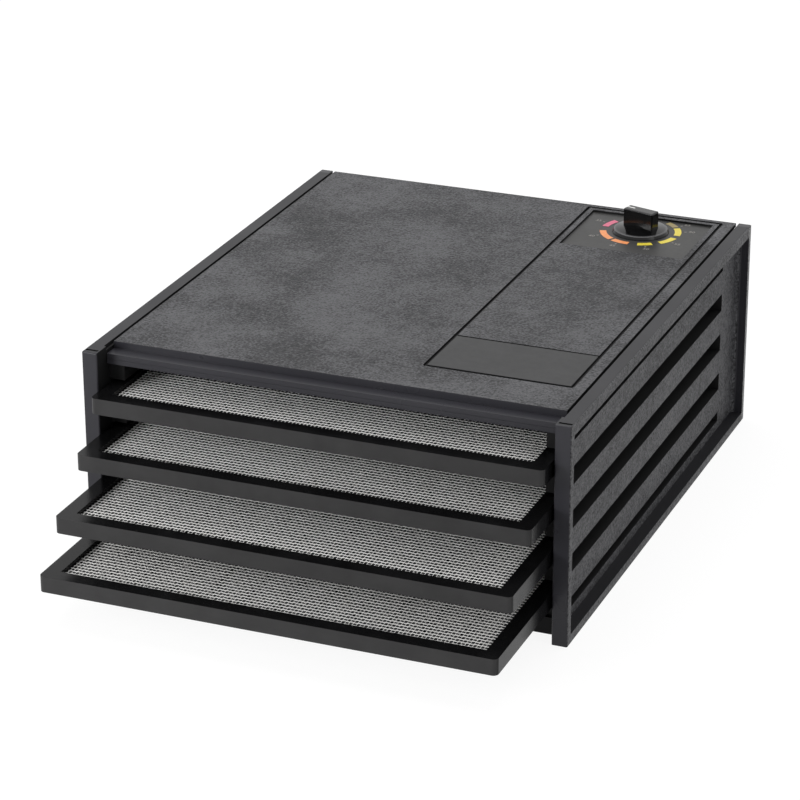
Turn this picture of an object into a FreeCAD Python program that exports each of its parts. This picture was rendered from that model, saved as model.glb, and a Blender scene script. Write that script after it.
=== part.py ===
import FreeCAD, Part
import math
import os
import re
import Sketcher

# A box-shaped food dehydrator with four trays. Millimetres, +Z up. The origin is the centre
# of the case's underside; the trays slide out towards -Y and the fan sits at the +Y end.

VECTOR = FreeCAD.Vector

DIMENSIONS = [
    # alias, value, meaning
    ("case_width", 381.0, "over the outer faces of the side frames"),
    ("case_height", 171.4, "underside to top"),
    ("post_width", 12.5, "outer face of a side frame to its inner wall"),
    ("side_wall", 3.0, "thickness of the side panels' recessed wall"),
    ("top_flange", 8.7, "height of the side frames' top flange"),
    ("foot_flange", 7.7, "height of the side frames' bottom flange"),
    ("front_flange", 6.0, "thickness of the front posts"),
    ("back_flange", 6.0, "thickness of the back flanges"),
    ("recess_round", 4.0, "fillet in the recess's back corner"),
    ("edge_round", 1.2, "rounding of the side frames' outer edges"),
    ("hook_slot_length", 10.0, "door hook slot, across the flange"),
    ("hook_slot_width", 2.5, "door hook slot, front to back"),
    ("hook_slot_depth", 8.0, "door hook slot, down from the top"),
    ("hook_slot_setback", 3.5, "front face to the door hook slot"),
    ("rail_reach", 12.5, "inner wall to a rail's edge"),
    ("rail_skin", 2.5, "walls at a rail's ends and edge, and skirts of the panels"),
    ("seat_skin", 3.6, "wall over a rail's channel"),
    ("rail_floor", 1.9, "wall under a rail's channel"),
    ("seam_width", 1.9, "rebate in the side frames along the top panel"),
    ("seam_depth", 3.0, "depth of that rebate"),
    ("rail_setback", 19.0, "front face to the rails' front ends"),
    ("rail_back_gap", 43.5, "rails' back ends to the back of the case"),
    ("lowest_rail_top", 26.6, "underside to the lowest tray's seat"),
    ("lowest_slot_height", 8.0, "lowest channel, which is the shallow one"),
    ("top_seat", 6.8, "top of the case to the top rail's seat"),
    ("panel_thick", 3.0, "top and bottom panels"),
    ("panel_gap", 0.5, "top and bottom panels to each side frame"),
    ("fit_gap", 0.2, "clearance between pieces that are set in each other"),
    ("panel_back_inset", 0.5, "back of the case to the top and bottom panels"),
    ("lip_setback", 15.0, "front face to the panels' front lips"),
    ("step_setback", 27.0, "front face to the step in the top panel"),
    ("step_drop", 5.5, "depth of the step in the top panel"),
    ("lip_height", 13.4, "depth of the front lips"),
    ("lip_line", 0.5, "groove along the top lip"),
    ("lip_line_depth", 0.3, "depth of that groove"),
    ("back_inset", 6.0, "back of the case to the back panel"),
    ("back_thick", 3.0, "back panel"),
    ("boss_size", 12.0, "bosses for the back panel's screws"),
    ("boss_height", 30.0, "bosses' height from the top and from the bottom"),
    ("screw_radius", 1.6, "shank of the case screws"),
    ("screw_head", 3.1, "radius of the case screws' heads"),
    ("screw_head_thick", 1.8, "height of the case screws' heads"),
    ("screw_length", 6.0, "shank length of the case screws"),
    ("screw_clearance", 0.05, "shank to hole"),
    ("boss_radius", 4.5, "round bosses under the top panel and on the bottom panel"),
    ("tray_clearance", 1.75, "tray to each inner wall"),
    ("tray_depth", 352.5, "front to back"),
    ("tray_height", 12.5, "underside to rim"),
    ("tray_headroom", 2.0, "tray to the rail above"),
    ("tray_lift", 0.2, "running gap over the rails"),
    ("tray_round", 4.0, "trays' upright corners"),
    ("tray_wall", 2.5, "outer wall and rim of a tray"),
    ("tray_inner_wall", 2.0, "inner wall of a tray"),
    ("rim_width", 12.0, "rim of a tray"),
    ("screen_drop", 3.5, "rim to the screen"),
    ("screen_thick", 0.8, "mesh screen"),
    ("screen_gap", 0.3, "screen to the tray's inner wall"),
    ("grid_height", 6.2, "bars of a tray's grid"),
    ("grid_bar", 1.8, "width of a grid bar"),
    ("tray_home", 18.0, "front face of the case to a tray pushed home"),
    ("pull_one", 16.6, "first tray, how far it stands out of the front"),
    ("pull_two", 42.6, "second tray"),
    ("pull_three", 79.3, "third tray"),
    ("pull_four", 107.0, "fourth tray"),
    ("tray_back_gap", 4.5, "a tray pushed home to the baffle"),
    ("chamber_depth", 58.0, "baffle to the back panel, for the fan and the heater"),
    ("baffle_thick", 2.0, "baffle behind the trays"),
    ("baffle_flange", 12.0, "folded flange of the baffle"),
    ("baffle_gap", 0.5, "baffle to the rails and walls"),
    ("grille_radius", 63.0, "fan grille in the baffle"),
    ("grille_bar", 2.5, "rings and spokes of the grille"),
    ("grille_hub", 12.0, "radius of the grille's centre disc"),
    ("control_right", 22.1, "right face to the control outline"),
    ("control_width", 116.2, "control outline"),
    ("control_front", 66.8, "front face to the control outline"),
    ("control_back", 5.2, "back of the case to the control outline"),
    ("outline_width", 2.7, "groove round the control area"),
    ("outline_depth", 1.8, "depth of that groove"),
    ("outline_round", 2.5, "corners of the control outline"),
    ("badge_depth", 60.8, "bare plate at the front of the control area"),
    ("badge_line", 1.6, "groove behind the bare plate"),
    ("dial_frame", 4.2, "band between the outline and the dial recess"),
    ("dial_depth", 85.0, "dial recess, front to back"),
    ("dial_drop", 1.6, "top to the dial plate"),
    ("inlay_thick", 0.6, "badge and dial plates"),
    ("inlay_gap", 0.15, "badge and dial plates to the edges round them"),
    ("knob_right", 80.6, "right face to the knob's axis"),
    ("knob_back", 43.3, "back of the case to the knob's axis"),
    ("knob_radius", 22.9, "foot of the knob's skirt"),
    ("knob_shoulder", 21.5, "top of the knob's skirt"),
    ("knob_skirt", 2.3, "height of the skirt"),
    ("knob_crown", 2.3, "rise of the sloping top over the skirt"),
    ("knob_crown_radius", 8.0, "upper end of the sloping top"),
    ("knob_edge", 0.5, "rounding of the skirt's upper edge"),
    ("knob_height", 18.2, "foot of the knob to the top of its grip bar"),
    ("knob_grip_length", 27.6, "grip bar"),
    ("knob_grip_width", 10.4, "grip bar"),
    ("knob_gap", 0.5, "knob over the dial plate"),
    ("knob_angle", 165.0, "pointer at rest, in degrees from +X"),
    ("pointer_width", 1.6, "mark on the knob"),
    ("pointer_length", 8.0, "mark on the knob"),
    ("pointer_depth", 0.6, "mark on the knob"),
    ("pointer_drop", 3.0, "mark's reach down the end of the grip bar"),
    ("stem_radius", 3.0, "thermostat stem"),
    ("stem_clearance", 0.05, "stem in its bushing"),
    ("stem_height", 14.0, "stem inside the knob"),
    ("bushing_radius", 4.8, "thermostat's threaded bushing"),
    ("nut_radius", 8.0, "thermostat nut, over its corners"),
    ("nut_thick", 2.0, "thermostat nut"),
    ("thermostat_width", 34.0, "thermostat body, side to side"),
    ("thermostat_depth", 30.0, "thermostat body, front to back"),
    ("thermostat_height", 22.0, "thermostat body"),
    ("tab_width", 6.0, "thermostat's tabs"),
    ("tab_length", 7.0, "thermostat's tabs"),
    ("thermostat_ear", 5.0, "thermostat's plate beyond its body on each side"),
    ("bracket_thick", 1.5, "sheet metal brackets"),
    ("fan_radius", 59.0, "tips of the fan blade"),
    ("hub_radius", 14.0, "fan hub"),
    ("hub_length", 14.0, "fan hub"),
    ("fan_gap", 6.0, "baffle to the fan"),
    ("blade_thick", 1.6, "fan blade"),
    ("root_pitch", 42.0, "fan blades at the hub, in degrees"),
    ("tip_pitch", 24.0, "fan blades at their tips, in degrees"),
    ("clip_radius", 5.0, "clip that holds the fan on its shaft"),
    ("shaft_radius", 2.5, "motor shaft"),
    ("shaft_clearance", 0.03, "shaft in its bushes"),
    ("shaft_nose", 2.0, "shaft in front of the fan"),
    ("shaft_tail", 3.0, "end of the shaft to the back panel"),
    ("motor_foot_depth", 10.0, "back panel to the motor bracket's plate"),
    ("core_depth", 18.0, "motor laminations"),
    ("core_half", 31.0, "half width of the laminations"),
    ("core_above", 22.0, "laminations over the shaft"),
    ("core_below", 40.0, "laminations under the shaft"),
    ("rotor_radius", 12.0, "rotor"),
    ("rotor_gap", 0.4, "rotor to laminations"),
    ("limb", 8.0, "laminations' lower limb"),
    ("coil_half", 17.0, "half width of the coil"),
    ("coil_build", 6.5, "thickness of the coil round its limb"),
    ("strap_height", 14.0, "bearing straps and motor bracket"),
    ("bush_radius", 6.0, "bearing bushes"),
    ("bush_length", 6.0, "bearing bushes"),
    ("motor_bolt_offset", 26.0, "motor bolts, from the shaft"),
    ("motor_bolt_radius", 2.0, "motor bolts"),
    ("motor_bolt_head", 3.6, "radius of the motor bolts' heads and nuts"),
    ("motor_bracket_half", 45.0, "half width of the motor bracket's plate"),
    ("motor_foot", 12.0, "feet of the motor bracket"),
    ("heater_radius", 72.0, "ring of the heating element"),
    ("heater_tube", 3.5, "radius of the heating element's tube"),
    ("heater_setback", 27.0, "baffle to the heating element"),
    ("heater_lead", 14.0, "straight ends of the heating element"),
    ("post_radius", 6.5, "ceramic posts of the heater"),
    ("cutoff_radius", 8.0, "thermal cutoff"),
    ("cutoff_length", 10.0, "thermal cutoff"),
    ("cutoff_offset", 1.3, "thermostat's axis to the thermal cutoff, side to side"),
    ("cutoff_rise", 24.0, "thermal cutoff over the fan's axis"),
    ("vent_length", 40.0, "intake vents"),
    ("vent_height", 4.0, "intake vents"),
    ("vent_pitch", 9.0, "rows of intake vents"),
    ("vent_inner", 24.0, "centre of the inner vents from the middle"),
    ("vent_outer", 82.0, "centre of the outer vents from the middle"),
    ("service_right", 55.0, "right face to the switch and the cord bushing"),
    ("switch_height", 66.0, "underside to the middle of the switch"),
    ("switch_length", 21.0, "switch housing, up and down"),
    ("switch_width", 15.0, "switch housing, side to side"),
    ("switch_depth", 17.0, "switch housing behind the panel"),
    ("switch_border", 2.0, "flange round the switch"),
    ("switch_flange", 1.5, "thickness of the switch's flange"),
    ("switch_skin", 1.2, "walls of the switch housing"),
    ("rocker_tilt", 10.0, "rocker at rest, in degrees"),
    ("rocker_pin", 1.2, "radius of the rocker's pivots"),
    ("rocker_depth", 4.0, "rocker under its pivots"),
    ("rocker_skirt", 1.0, "rocker's ends under its pivots"),
    ("inlet_height", 28.0, "underside to the cord bushing"),
    ("inlet_bore", 3.8, "radius of the cord bushing's bore"),
    ("inlet_body", 6.5, "radius of the cord bushing in the panel"),
    ("inlet_flange", 9.0, "radius of the cord bushing's flange"),
    ("block_length", 36.0, "terminal block"),
    ("block_depth", 12.0, "terminal block"),
    ("block_height", 14.0, "terminal block"),
    ("lead_radius", 1.3, "internal leads"),
]

PLACES = [
    # alias, formula on the driving dimensions and on the places above it
    ("case_depth", "tray_home + tray_depth + tray_back_gap + baffle_thick + chamber_depth"
                   " + back_thick + back_inset"),
    ("half", "case_width / 2"),
    ("front", "-case_depth / 2"),
    ("back", "case_depth / 2"),
    ("inner_wall", "half - post_width"),
    ("outer_wall", "inner_wall + side_wall"),
    ("rail_edge", "inner_wall - rail_reach"),
    ("rail_front", "front + rail_setback"),
    ("rail_back", "back - rail_back_gap"),
    ("tray_pitch", "(case_height - top_seat - lowest_rail_top) / 4"),
    ("slot_height", "tray_pitch - tray_height - tray_headroom - seat_skin - rail_floor"),
    ("panel_half", "inner_wall - panel_gap"),
    ("panel_back", "back - panel_back_inset"),
    ("panel_top", "case_height - panel_thick"),
    ("lip_front", "front + lip_setback"),
    ("step_front", "front + step_setback"),
    ("back_outer", "back - back_inset"),
    ("back_inner", "back_outer - back_thick"),
    ("top_seat_height", "case_height - top_seat"),
    ("low_seat_height", "lowest_rail_top - seat_skin - lowest_slot_height - rail_floor"),
    ("case_screw_x", "(rail_edge + rail_skin + outer_wall) / 2 - rail_skin"),
    ("tray_half", "inner_wall - tray_clearance"),
    ("tray_inside", "tray_half - rim_width"),
    ("screen_floor", "tray_height - screen_drop - screen_thick"),
    ("baffle_front", "front + tray_home + tray_depth + tray_back_gap"),
    ("baffle_back", "baffle_front + baffle_thick"),
    ("fan_height", "case_height / 2"),
    ("control_east", "half - control_right"),
    ("control_west", "control_east - control_width"),
    ("control_south", "front + control_front"),
    ("control_north", "back - control_back"),
    ("inlay_east", "control_east - outline_width"),
    ("inlay_west", "control_west + outline_width"),
    ("inlay_south", "control_south + outline_width"),
    ("inlay_north", "control_north - outline_width"),
    ("badge_north", "inlay_south + badge_depth"),
    ("dial_west", "inlay_west + dial_frame"),
    ("dial_east", "inlay_east - dial_frame"),
    ("dial_north", "inlay_north - dial_frame"),
    ("dial_south", "dial_north - dial_depth"),
    ("dial_floor", "case_height - dial_drop - inlay_thick"),
    ("knob_x", "half - knob_right"),
    ("knob_y", "back - knob_back"),
    ("knob_base", "case_height - dial_drop + knob_gap"),
    ("thermostat_top", "panel_top - bracket_thick"),
    ("fan_front", "baffle_back + fan_gap"),
    ("bracket_back", "back_inner - motor_foot_depth"),
    ("core_back", "bracket_back - 2 * bracket_thick"),
    ("core_front", "core_back - core_depth"),
    ("heater_y", "baffle_back + heater_setback"),
    ("service_x", "half - service_right"),
    ("cutoff_x", "knob_x - cutoff_offset"),
    ("cutoff_z", "fan_height + cutoff_rise"),
    ("flange_half", "knob_x - thermostat_width / 2 - boss_size"),
]

doc = FreeCAD.newDocument("food_dehydrator")
dims = doc.addObject("Spreadsheet::Sheet", "Dims")
places = doc.addObject("Spreadsheet::Sheet", "Places")
SHEET_OF = {}


def qualified(formula):
    """The formula with each alias written with the name of its sheet."""
    return re.sub(r"[a-z]\w*", lambda word: SHEET_OF.get(word.group(), "") + word.group(), formula)


for row, (alias, number, meaning) in enumerate(DIMENSIONS, 1):
    dims.set(f"A{row}", alias)
    dims.set(f"B{row}", str(number))
    dims.set(f"C{row}", meaning)
    dims.setAlias(f"B{row}", alias)
    SHEET_OF[alias] = "Dims."
doc.recompute()

for row, (alias, formula) in enumerate(PLACES, 1):
    places.set(f"A{row}", alias)
    places.set(f"B{row}", "=" + qualified(formula))
    places.setAlias(f"B{row}", alias)
    SHEET_OF[alias] = "Places."
doc.recompute()


def value(alias):
    """The number behind an alias."""
    sheet = dims if SHEET_OF[alias] == "Dims." else places
    return float(sheet.get(alias))


pieces = []


def piece(thing, label):
    """Names a finished sub-part; its label is also its file's name."""
    thing.Label = label
    pieces.append(thing)
    return thing


def bind(thing, prop, formula):
    thing.setExpression(prop, qualified(formula))


def block(name, x, y, z):
    """A box between a low and a high formula on each axis."""
    solid = doc.addObject("Part::Box", name)
    for prop, (low, high) in zip(("Length", "Width", "Height"), (x, y, z)):
        bind(solid, prop, f"({high}) - ({low})")
    for letter, (low, high) in zip("xyz", (x, y, z)):
        bind(solid, f"Placement.Base.{letter}", low)
    return solid


def middle(centre, size):
    """The span of a size about a centre."""
    return f"{centre} - ({size}) / 2", f"{centre} + ({size}) / 2"


TURNS = {
    "x": FreeCAD.Rotation(VECTOR(0, 1, 0), 90),
    "y": FreeCAD.Rotation(VECTOR(1, 0, 0), -90),
    "z": FreeCAD.Rotation(),
}


def rod(name, axis, radius, span, centre):
    """A cylinder along an axis; centre gives its place on the other two axes in order."""
    solid = doc.addObject("Part::Cylinder", name)
    solid.Placement = FreeCAD.Placement(VECTOR(), TURNS[axis])
    bind(solid, "Radius", radius)
    bind(solid, "Height", f"({span[1]}) - ({span[0]})")
    others = iter(centre)
    for letter in "xyz":
        bind(solid, f"Placement.Base.{letter}", span[0] if letter == axis else next(others))
    return solid


def join(name, *parts):
    """One solid from touching or overlapping solids."""
    solid = doc.addObject("Part::MultiFuse", name)
    solid.Shapes = list(parts)
    solid.Refine = True
    return solid


def group(name, *parts):
    """Separate solids that share one node."""
    compound = doc.addObject("Part::Compound", name)
    compound.Links = list(parts)
    return compound


def cut(name, base, *tools):
    """The base without the tools."""
    solid = doc.addObject("Part::Cut", name)
    solid.Base = base
    solid.Tool = tools[0] if len(tools) == 1 else join(name + "_tools", *tools)
    solid.Refine = True
    return solid


def rounded(name, base, radius, chosen):
    """The base with the edges rounded for which chosen(box of the edge) is true."""
    doc.recompute()
    solid = doc.addObject("Part::Fillet", name)
    solid.Base = base
    size = value(radius)
    solid.Edges = [
        (number, size, size)
        for number, edge in enumerate(base.Shape.Edges, 1)
        if chosen(edge.BoundBox)
    ]
    return solid


def near(one, other):
    return abs(one - other) < 0.001


def screws(name, axis, heads_at, towards, places_of, length="screw_length"):
    """Pan head screws: heads_at is the seat under the heads, towards the shank's direction."""
    solids = []
    for number, centre in enumerate(places_of, 1):
        if towards > 0:
            head_span = (f"{heads_at} - screw_head_thick", heads_at)
            shank_span = (heads_at, f"{heads_at} + ({length})")
        else:
            head_span = (heads_at, f"{heads_at} + screw_head_thick")
            shank_span = (f"{heads_at} - ({length})", heads_at)
        head = rod(f"{name}_head_{number}", axis, "screw_head", head_span, centre)
        shank = rod(f"{name}_shank_{number}", axis, "screw_radius", shank_span, centre)
        solids.append(join(f"{name}_{number}", head, shank))
    return piece(group(name + "_group", *solids), name)


def screw_holes(name, axis, span, places_of):
    return [
        rod(f"{name}_{number}", axis, "screw_radius + screw_clearance", span, centre)
        for number, centre in enumerate(places_of, 1)
    ]


# ---------------------------------------------------------------- side panels

RAIL_COUNT = 5
CASE_SCREW_Y = [f"rail_front + (rail_back - rail_front) * {2 * i + 1} / 6" for i in range(3)]
BACK_SCREW_X = "inner_wall - boss_size / 2"
BACK_SCREW_Z = ("boss_height", "case_height - boss_height")


def rail_top(k):
    """Seat of a rail, counted from the lowest."""
    return f"lowest_rail_top + {k} * tray_pitch"


def side_panel():
    """Right panel: a flanged frame round a wall with channels that are rails inside."""
    whole = block("side_block", ("inner_wall", "half"), ("front", "back"), ("0", "case_height"))
    outer = value("half")
    face = value("front")
    softened = rounded(
        "side_softened", whole, "edge_round",
        lambda box: near(box.XMin, outer) or (near(box.YMax, face) and not near(box.ZMax, 0)),
    )
    recess_back = value("back") - value("back_flange")
    wall = value("outer_wall")
    recess = rounded(
        "side_recess",
        block("side_recess_block", ("outer_wall", "half + 1"),
              ("front + front_flange", "back - back_flange"),
              ("foot_flange", "case_height - top_flange")),
        "recess_round",
        lambda box: near(box.XMax, wall) and near(box.YMin, recess_back) and box.ZLength > 1,
    )
    rails = []
    channels = []
    for k in range(RAIL_COUNT):
        height = "lowest_slot_height" if k == 0 else "slot_height"
        slot_top = f"{rail_top(k)} - seat_skin"
        slot_bottom = f"{slot_top} - {height}"
        rails.append(block(f"side_rail_{k}", ("rail_edge", "inner_wall + side_wall / 2"),
                           ("rail_front", "rail_back"),
                           (f"{slot_bottom} - rail_floor", rail_top(k))))
        channels.append(block(f"side_channel_{k}", ("rail_edge + rail_skin", "outer_wall + 1"),
                              ("rail_front + rail_skin", "rail_back - rail_skin"),
                              (slot_bottom, slot_top)))
    bosses = [
        block(f"side_boss_{i}", ("inner_wall - boss_size", "inner_wall + side_wall / 2"),
              ("back_inner - boss_size", "back_inner"), middle(height, "boss_size"))
        for i, height in enumerate(BACK_SCREW_Z)
    ]
    body = join("side_body", cut("side_frame", softened, recess), *rails, *bosses)
    hook_slot = block("side_hook_slot", middle("(inner_wall + half) / 2", "hook_slot_length"),
                      ("front + hook_slot_setback",
                       "front + hook_slot_setback + hook_slot_width"),
                      ("case_height - hook_slot_depth", "case_height + 1"))
    seam = block("side_seam", ("inner_wall - 1", "inner_wall + seam_width"),
                 ("lip_front", "back + 1"), ("case_height - seam_depth", "case_height + 1"))
    seats = [("case_screw_x", y) for y in CASE_SCREW_Y]
    holes = screw_holes("side_top_hole", "z",
                        ("top_seat_height - seat_skin - 0.5", "top_seat_height + 0.5"), seats)
    holes += screw_holes("side_low_hole", "z",
                         ("low_seat_height - 0.5", "low_seat_height + rail_floor + 0.5"), seats)
    holes += screw_holes("side_back_hole", "y", ("back_inner - screw_length", "back_inner + 1"),
                         [(BACK_SCREW_X, z) for z in BACK_SCREW_Z])
    return cut("side_panel", body, *channels, hook_slot, seam, *holes)


right_panel = piece(side_panel(), "right_side_panel")
left_panel = doc.addObject("Part::Mirroring", "left_mirror")
left_panel.Source = right_panel
left_panel.Normal = VECTOR(1, 0, 0)
piece(left_panel, "left_side_panel")

# ---------------------------------------------------------------- top and bottom panels


BAFFLE_SCREWS = [(x, "baffle_back + baffle_flange / 2")
                 for x in ("-flange_half / 2", "0", "flange_half / 2")]


def both_sides(formula):
    return (f"{formula}", f"-({formula})")


def skirts(name, y_span, z_span):
    """Upright strips along both edges of a panel, which seat on the rails."""
    return [
        block(f"{name}_east", ("panel_half - rail_skin", "panel_half"), y_span, z_span),
        block(f"{name}_west", ("-panel_half", "rail_skin - panel_half"), y_span, z_span),
    ]


def case_screw_places():
    return [(x, y) for x in both_sides("case_screw_x") for y in CASE_SCREW_Y]


def outline_groove():
    """The rectangle pressed into the top round the control area."""
    outer = block("outline_outer", ("control_west", "control_east"),
                  ("control_south", "control_north"),
                  ("case_height - outline_depth", "case_height + 1"))
    return cut(
        "outline_groove",
        rounded("outline_outer_round", outer, "outline_round", lambda box: box.ZLength > 1),
        block("outline_inner", ("inlay_west", "inlay_east"), ("inlay_south", "inlay_north"),
              ("case_height - 3", "case_height + 2")),
    )


BADGE = (("inlay_west", "inlay_east"), ("inlay_south", "badge_north"),
         "case_height - inlay_thick")
DIAL = (("dial_west", "dial_east"), ("dial_south", "dial_north"), "dial_floor")


def inlay_pocket(name, x, y, floor):
    """The pocket in the top that a plate lies in."""
    return block(name, x, y, (floor, "case_height + 1"))


def inlay(name, x, y, floor):
    return block(name, (f"{x[0]} + inlay_gap", f"{x[1]} - inlay_gap"),
                 (f"{y[0]} + inlay_gap", f"{y[1]} - inlay_gap"),
                 (floor, f"{floor} + inlay_thick"))


def top_panel():
    side = ("-panel_half", "panel_half")
    step_low = "case_height - step_drop"
    plate = block("top_plate", side, ("step_front", "panel_back"), ("panel_top", "case_height"))
    riser = block("top_riser", side, ("step_front", "step_front + panel_thick"),
                  (f"{step_low} - panel_thick", "case_height"))
    ledge = block("top_ledge", side, ("lip_front", "step_front + panel_thick"),
                  (f"{step_low} - panel_thick", step_low))
    lip = block("top_lip", side, ("lip_front", "lip_front + panel_thick"),
                ("case_height - lip_height", step_low))
    strips = skirts("top_skirt", ("step_front", "back_inner - fit_gap"),
                    ("top_seat_height", "panel_top"))
    bosses = [
        rod(f"top_boss_{i}", "z", "boss_radius", ("top_seat_height", "panel_top"), centre)
        for i, centre in enumerate(case_screw_places())
    ]
    body = join("top_body", plate, riser, ledge, lip, *strips, *bosses)
    rail_room = [
        block(f"top_rail_room_{i}", span, ("rail_front - baffle_gap", "step_front + 5"),
              (f"{step_low} - 8", "top_seat_height"))
        for i, span in enumerate((("rail_edge - baffle_gap", "half"),
                                  ("-half", "baffle_gap - rail_edge")))
    ]
    line = block("top_lip_line", ("-half", "half"), ("lip_front - 1", "lip_front + lip_line_depth"),
                 middle("case_height - (step_drop + lip_height) / 2", "lip_line"))
    holes = screw_holes("top_hole", "z",
                        ("top_seat_height - 1", "top_seat_height - seat_skin + screw_length"),
                        case_screw_places())
    holes += screw_holes("top_baffle_hole", "z", ("panel_top - 1", "panel_top + panel_thick / 2"),
                         BAFFLE_SCREWS)
    bushing_hole = rod("top_bushing_hole", "z", "bushing_radius + fit_gap",
                       ("panel_top - 1", "case_height + 1"), ("knob_x", "knob_y"))
    pockets = [inlay_pocket("badge_pocket", *BADGE), inlay_pocket("dial_pocket", *DIAL),
               block("badge_groove", ("inlay_west - 1", "inlay_east + 1"),
                     ("badge_north", "badge_north + badge_line"),
                     ("case_height - outline_depth", "case_height + 1"))]
    return cut("top_panel_shape", body, *rail_room, line, outline_groove(), *pockets,
               bushing_hole, *holes)


def bottom_panel():
    side = ("-panel_half", "panel_half")
    plate = block("low_plate", side, ("lip_front", "panel_back"), ("0", "panel_thick"))
    lip = block("low_lip", side, ("lip_front", "lip_front + panel_thick"), ("0", "lip_height"))
    strips = skirts("low_skirt", ("lip_front", "back_inner - fit_gap"),
                    ("0", "low_seat_height"))
    bosses = [
        rod(f"low_boss_{i}", "z", "boss_radius", ("0", "low_seat_height"), centre)
        for i, centre in enumerate(case_screw_places())
    ]
    body = join("low_body", plate, lip, *strips, *bosses)
    holes = screw_holes("low_hole", "z",
                        ("low_seat_height + rail_floor - screw_length", "low_seat_height + 1"),
                        case_screw_places())
    holes += screw_holes("low_baffle_hole", "z", ("panel_thick / 2", "panel_thick + 1"),
                         BAFFLE_SCREWS)
    return cut("bottom_panel_shape", body, *holes)


piece(top_panel(), "top_panel")
piece(bottom_panel(), "bottom_panel")
piece(inlay("badge", *BADGE), "blank_badge")
piece(cut("dial_shape", inlay("dial_blank", *DIAL),
          rod("dial_hole", "z", "nut_radius + fit_gap", ("dial_floor - 1", "case_height"),
              ("knob_x", "knob_y"))), "dial_plate")
screws("top_panel_screws", "z", "top_seat_height - seat_skin", 1, case_screw_places())
screws("bottom_panel_screws", "z", "low_seat_height + rail_floor", -1, case_screw_places())

# ---------------------------------------------------------------- back panel

MOTOR_FOOT_X = "motor_bracket_half + bracket_thick + motor_foot / 2"
MOTOR_FEET = [(x, "fan_height") for x in both_sides(MOTOR_FOOT_X)]
BACK_SCREWS = [(x, z) for x in both_sides(BACK_SCREW_X) for z in BACK_SCREW_Z]
VENT_ROWS = 11


def origin_plane(body, role):
    return next(thing for thing in body.Origin.OriginFeatures if thing.Role == role)


def new_sketch(body, role, name):
    sketch = body.newObject("Sketcher::SketchObject", name)
    sketch.AttachmentSupport = [(origin_plane(body, role), "")]
    sketch.MapMode = "FlatFace"
    return sketch


def add_rectangle(sketch, left, right, low, high):
    """A rectangle whose four sides are bound to formulas, all of them positive."""
    corners = [VECTOR(1, 1, 0), VECTOR(2, 1, 0), VECTOR(2, 2, 0), VECTOR(1, 2, 0)]
    first = sketch.GeometryCount
    for i in range(4):
        sketch.addGeometry(Part.LineSegment(corners[i], corners[(i + 1) % 4]), False)
    for i in range(4):
        sketch.addConstraint(Sketcher.Constraint("Coincident", first + i, 2,
                                                 first + (i + 1) % 4, 1))
        kind = "Horizontal" if i % 2 == 0 else "Vertical"
        sketch.addConstraint(Sketcher.Constraint(kind, first + i))
    for kind, line, formula in (("DistanceX", 0, left), ("DistanceX", 1, right),
                                ("DistanceY", 0, low), ("DistanceY", 2, high)):
        number = sketch.addConstraint(Sketcher.Constraint(kind, -1, 1, first + line, 1, 1.5))
        bind(sketch, f"Constraints[{number}]", formula)


def add_circle(sketch, across, up, radius):
    """A circle whose centre and radius are bound to formulas."""
    index = sketch.addGeometry(Part.Circle(VECTOR(1, 1, 0), VECTOR(0, 0, 1), 1), False)
    for kind, formula in (("DistanceX", across), ("DistanceY", up)):
        number = sketch.addConstraint(Sketcher.Constraint(kind, -1, 1, index, 3, 1.5))
        bind(sketch, f"Constraints[{number}]", formula)
    number = sketch.addConstraint(Sketcher.Constraint("Radius", index, 1))
    bind(sketch, f"Constraints[{number}]", radius)


def pocket(body, name, sketch):
    """A pocket right through the body, both ways from its sketch."""
    feature = body.newObject("PartDesign::Pocket", name)
    feature.Profile = sketch
    feature.Type = "ThroughAll"
    feature.Midplane = True
    sketch.Visibility = False
    return feature


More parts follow.
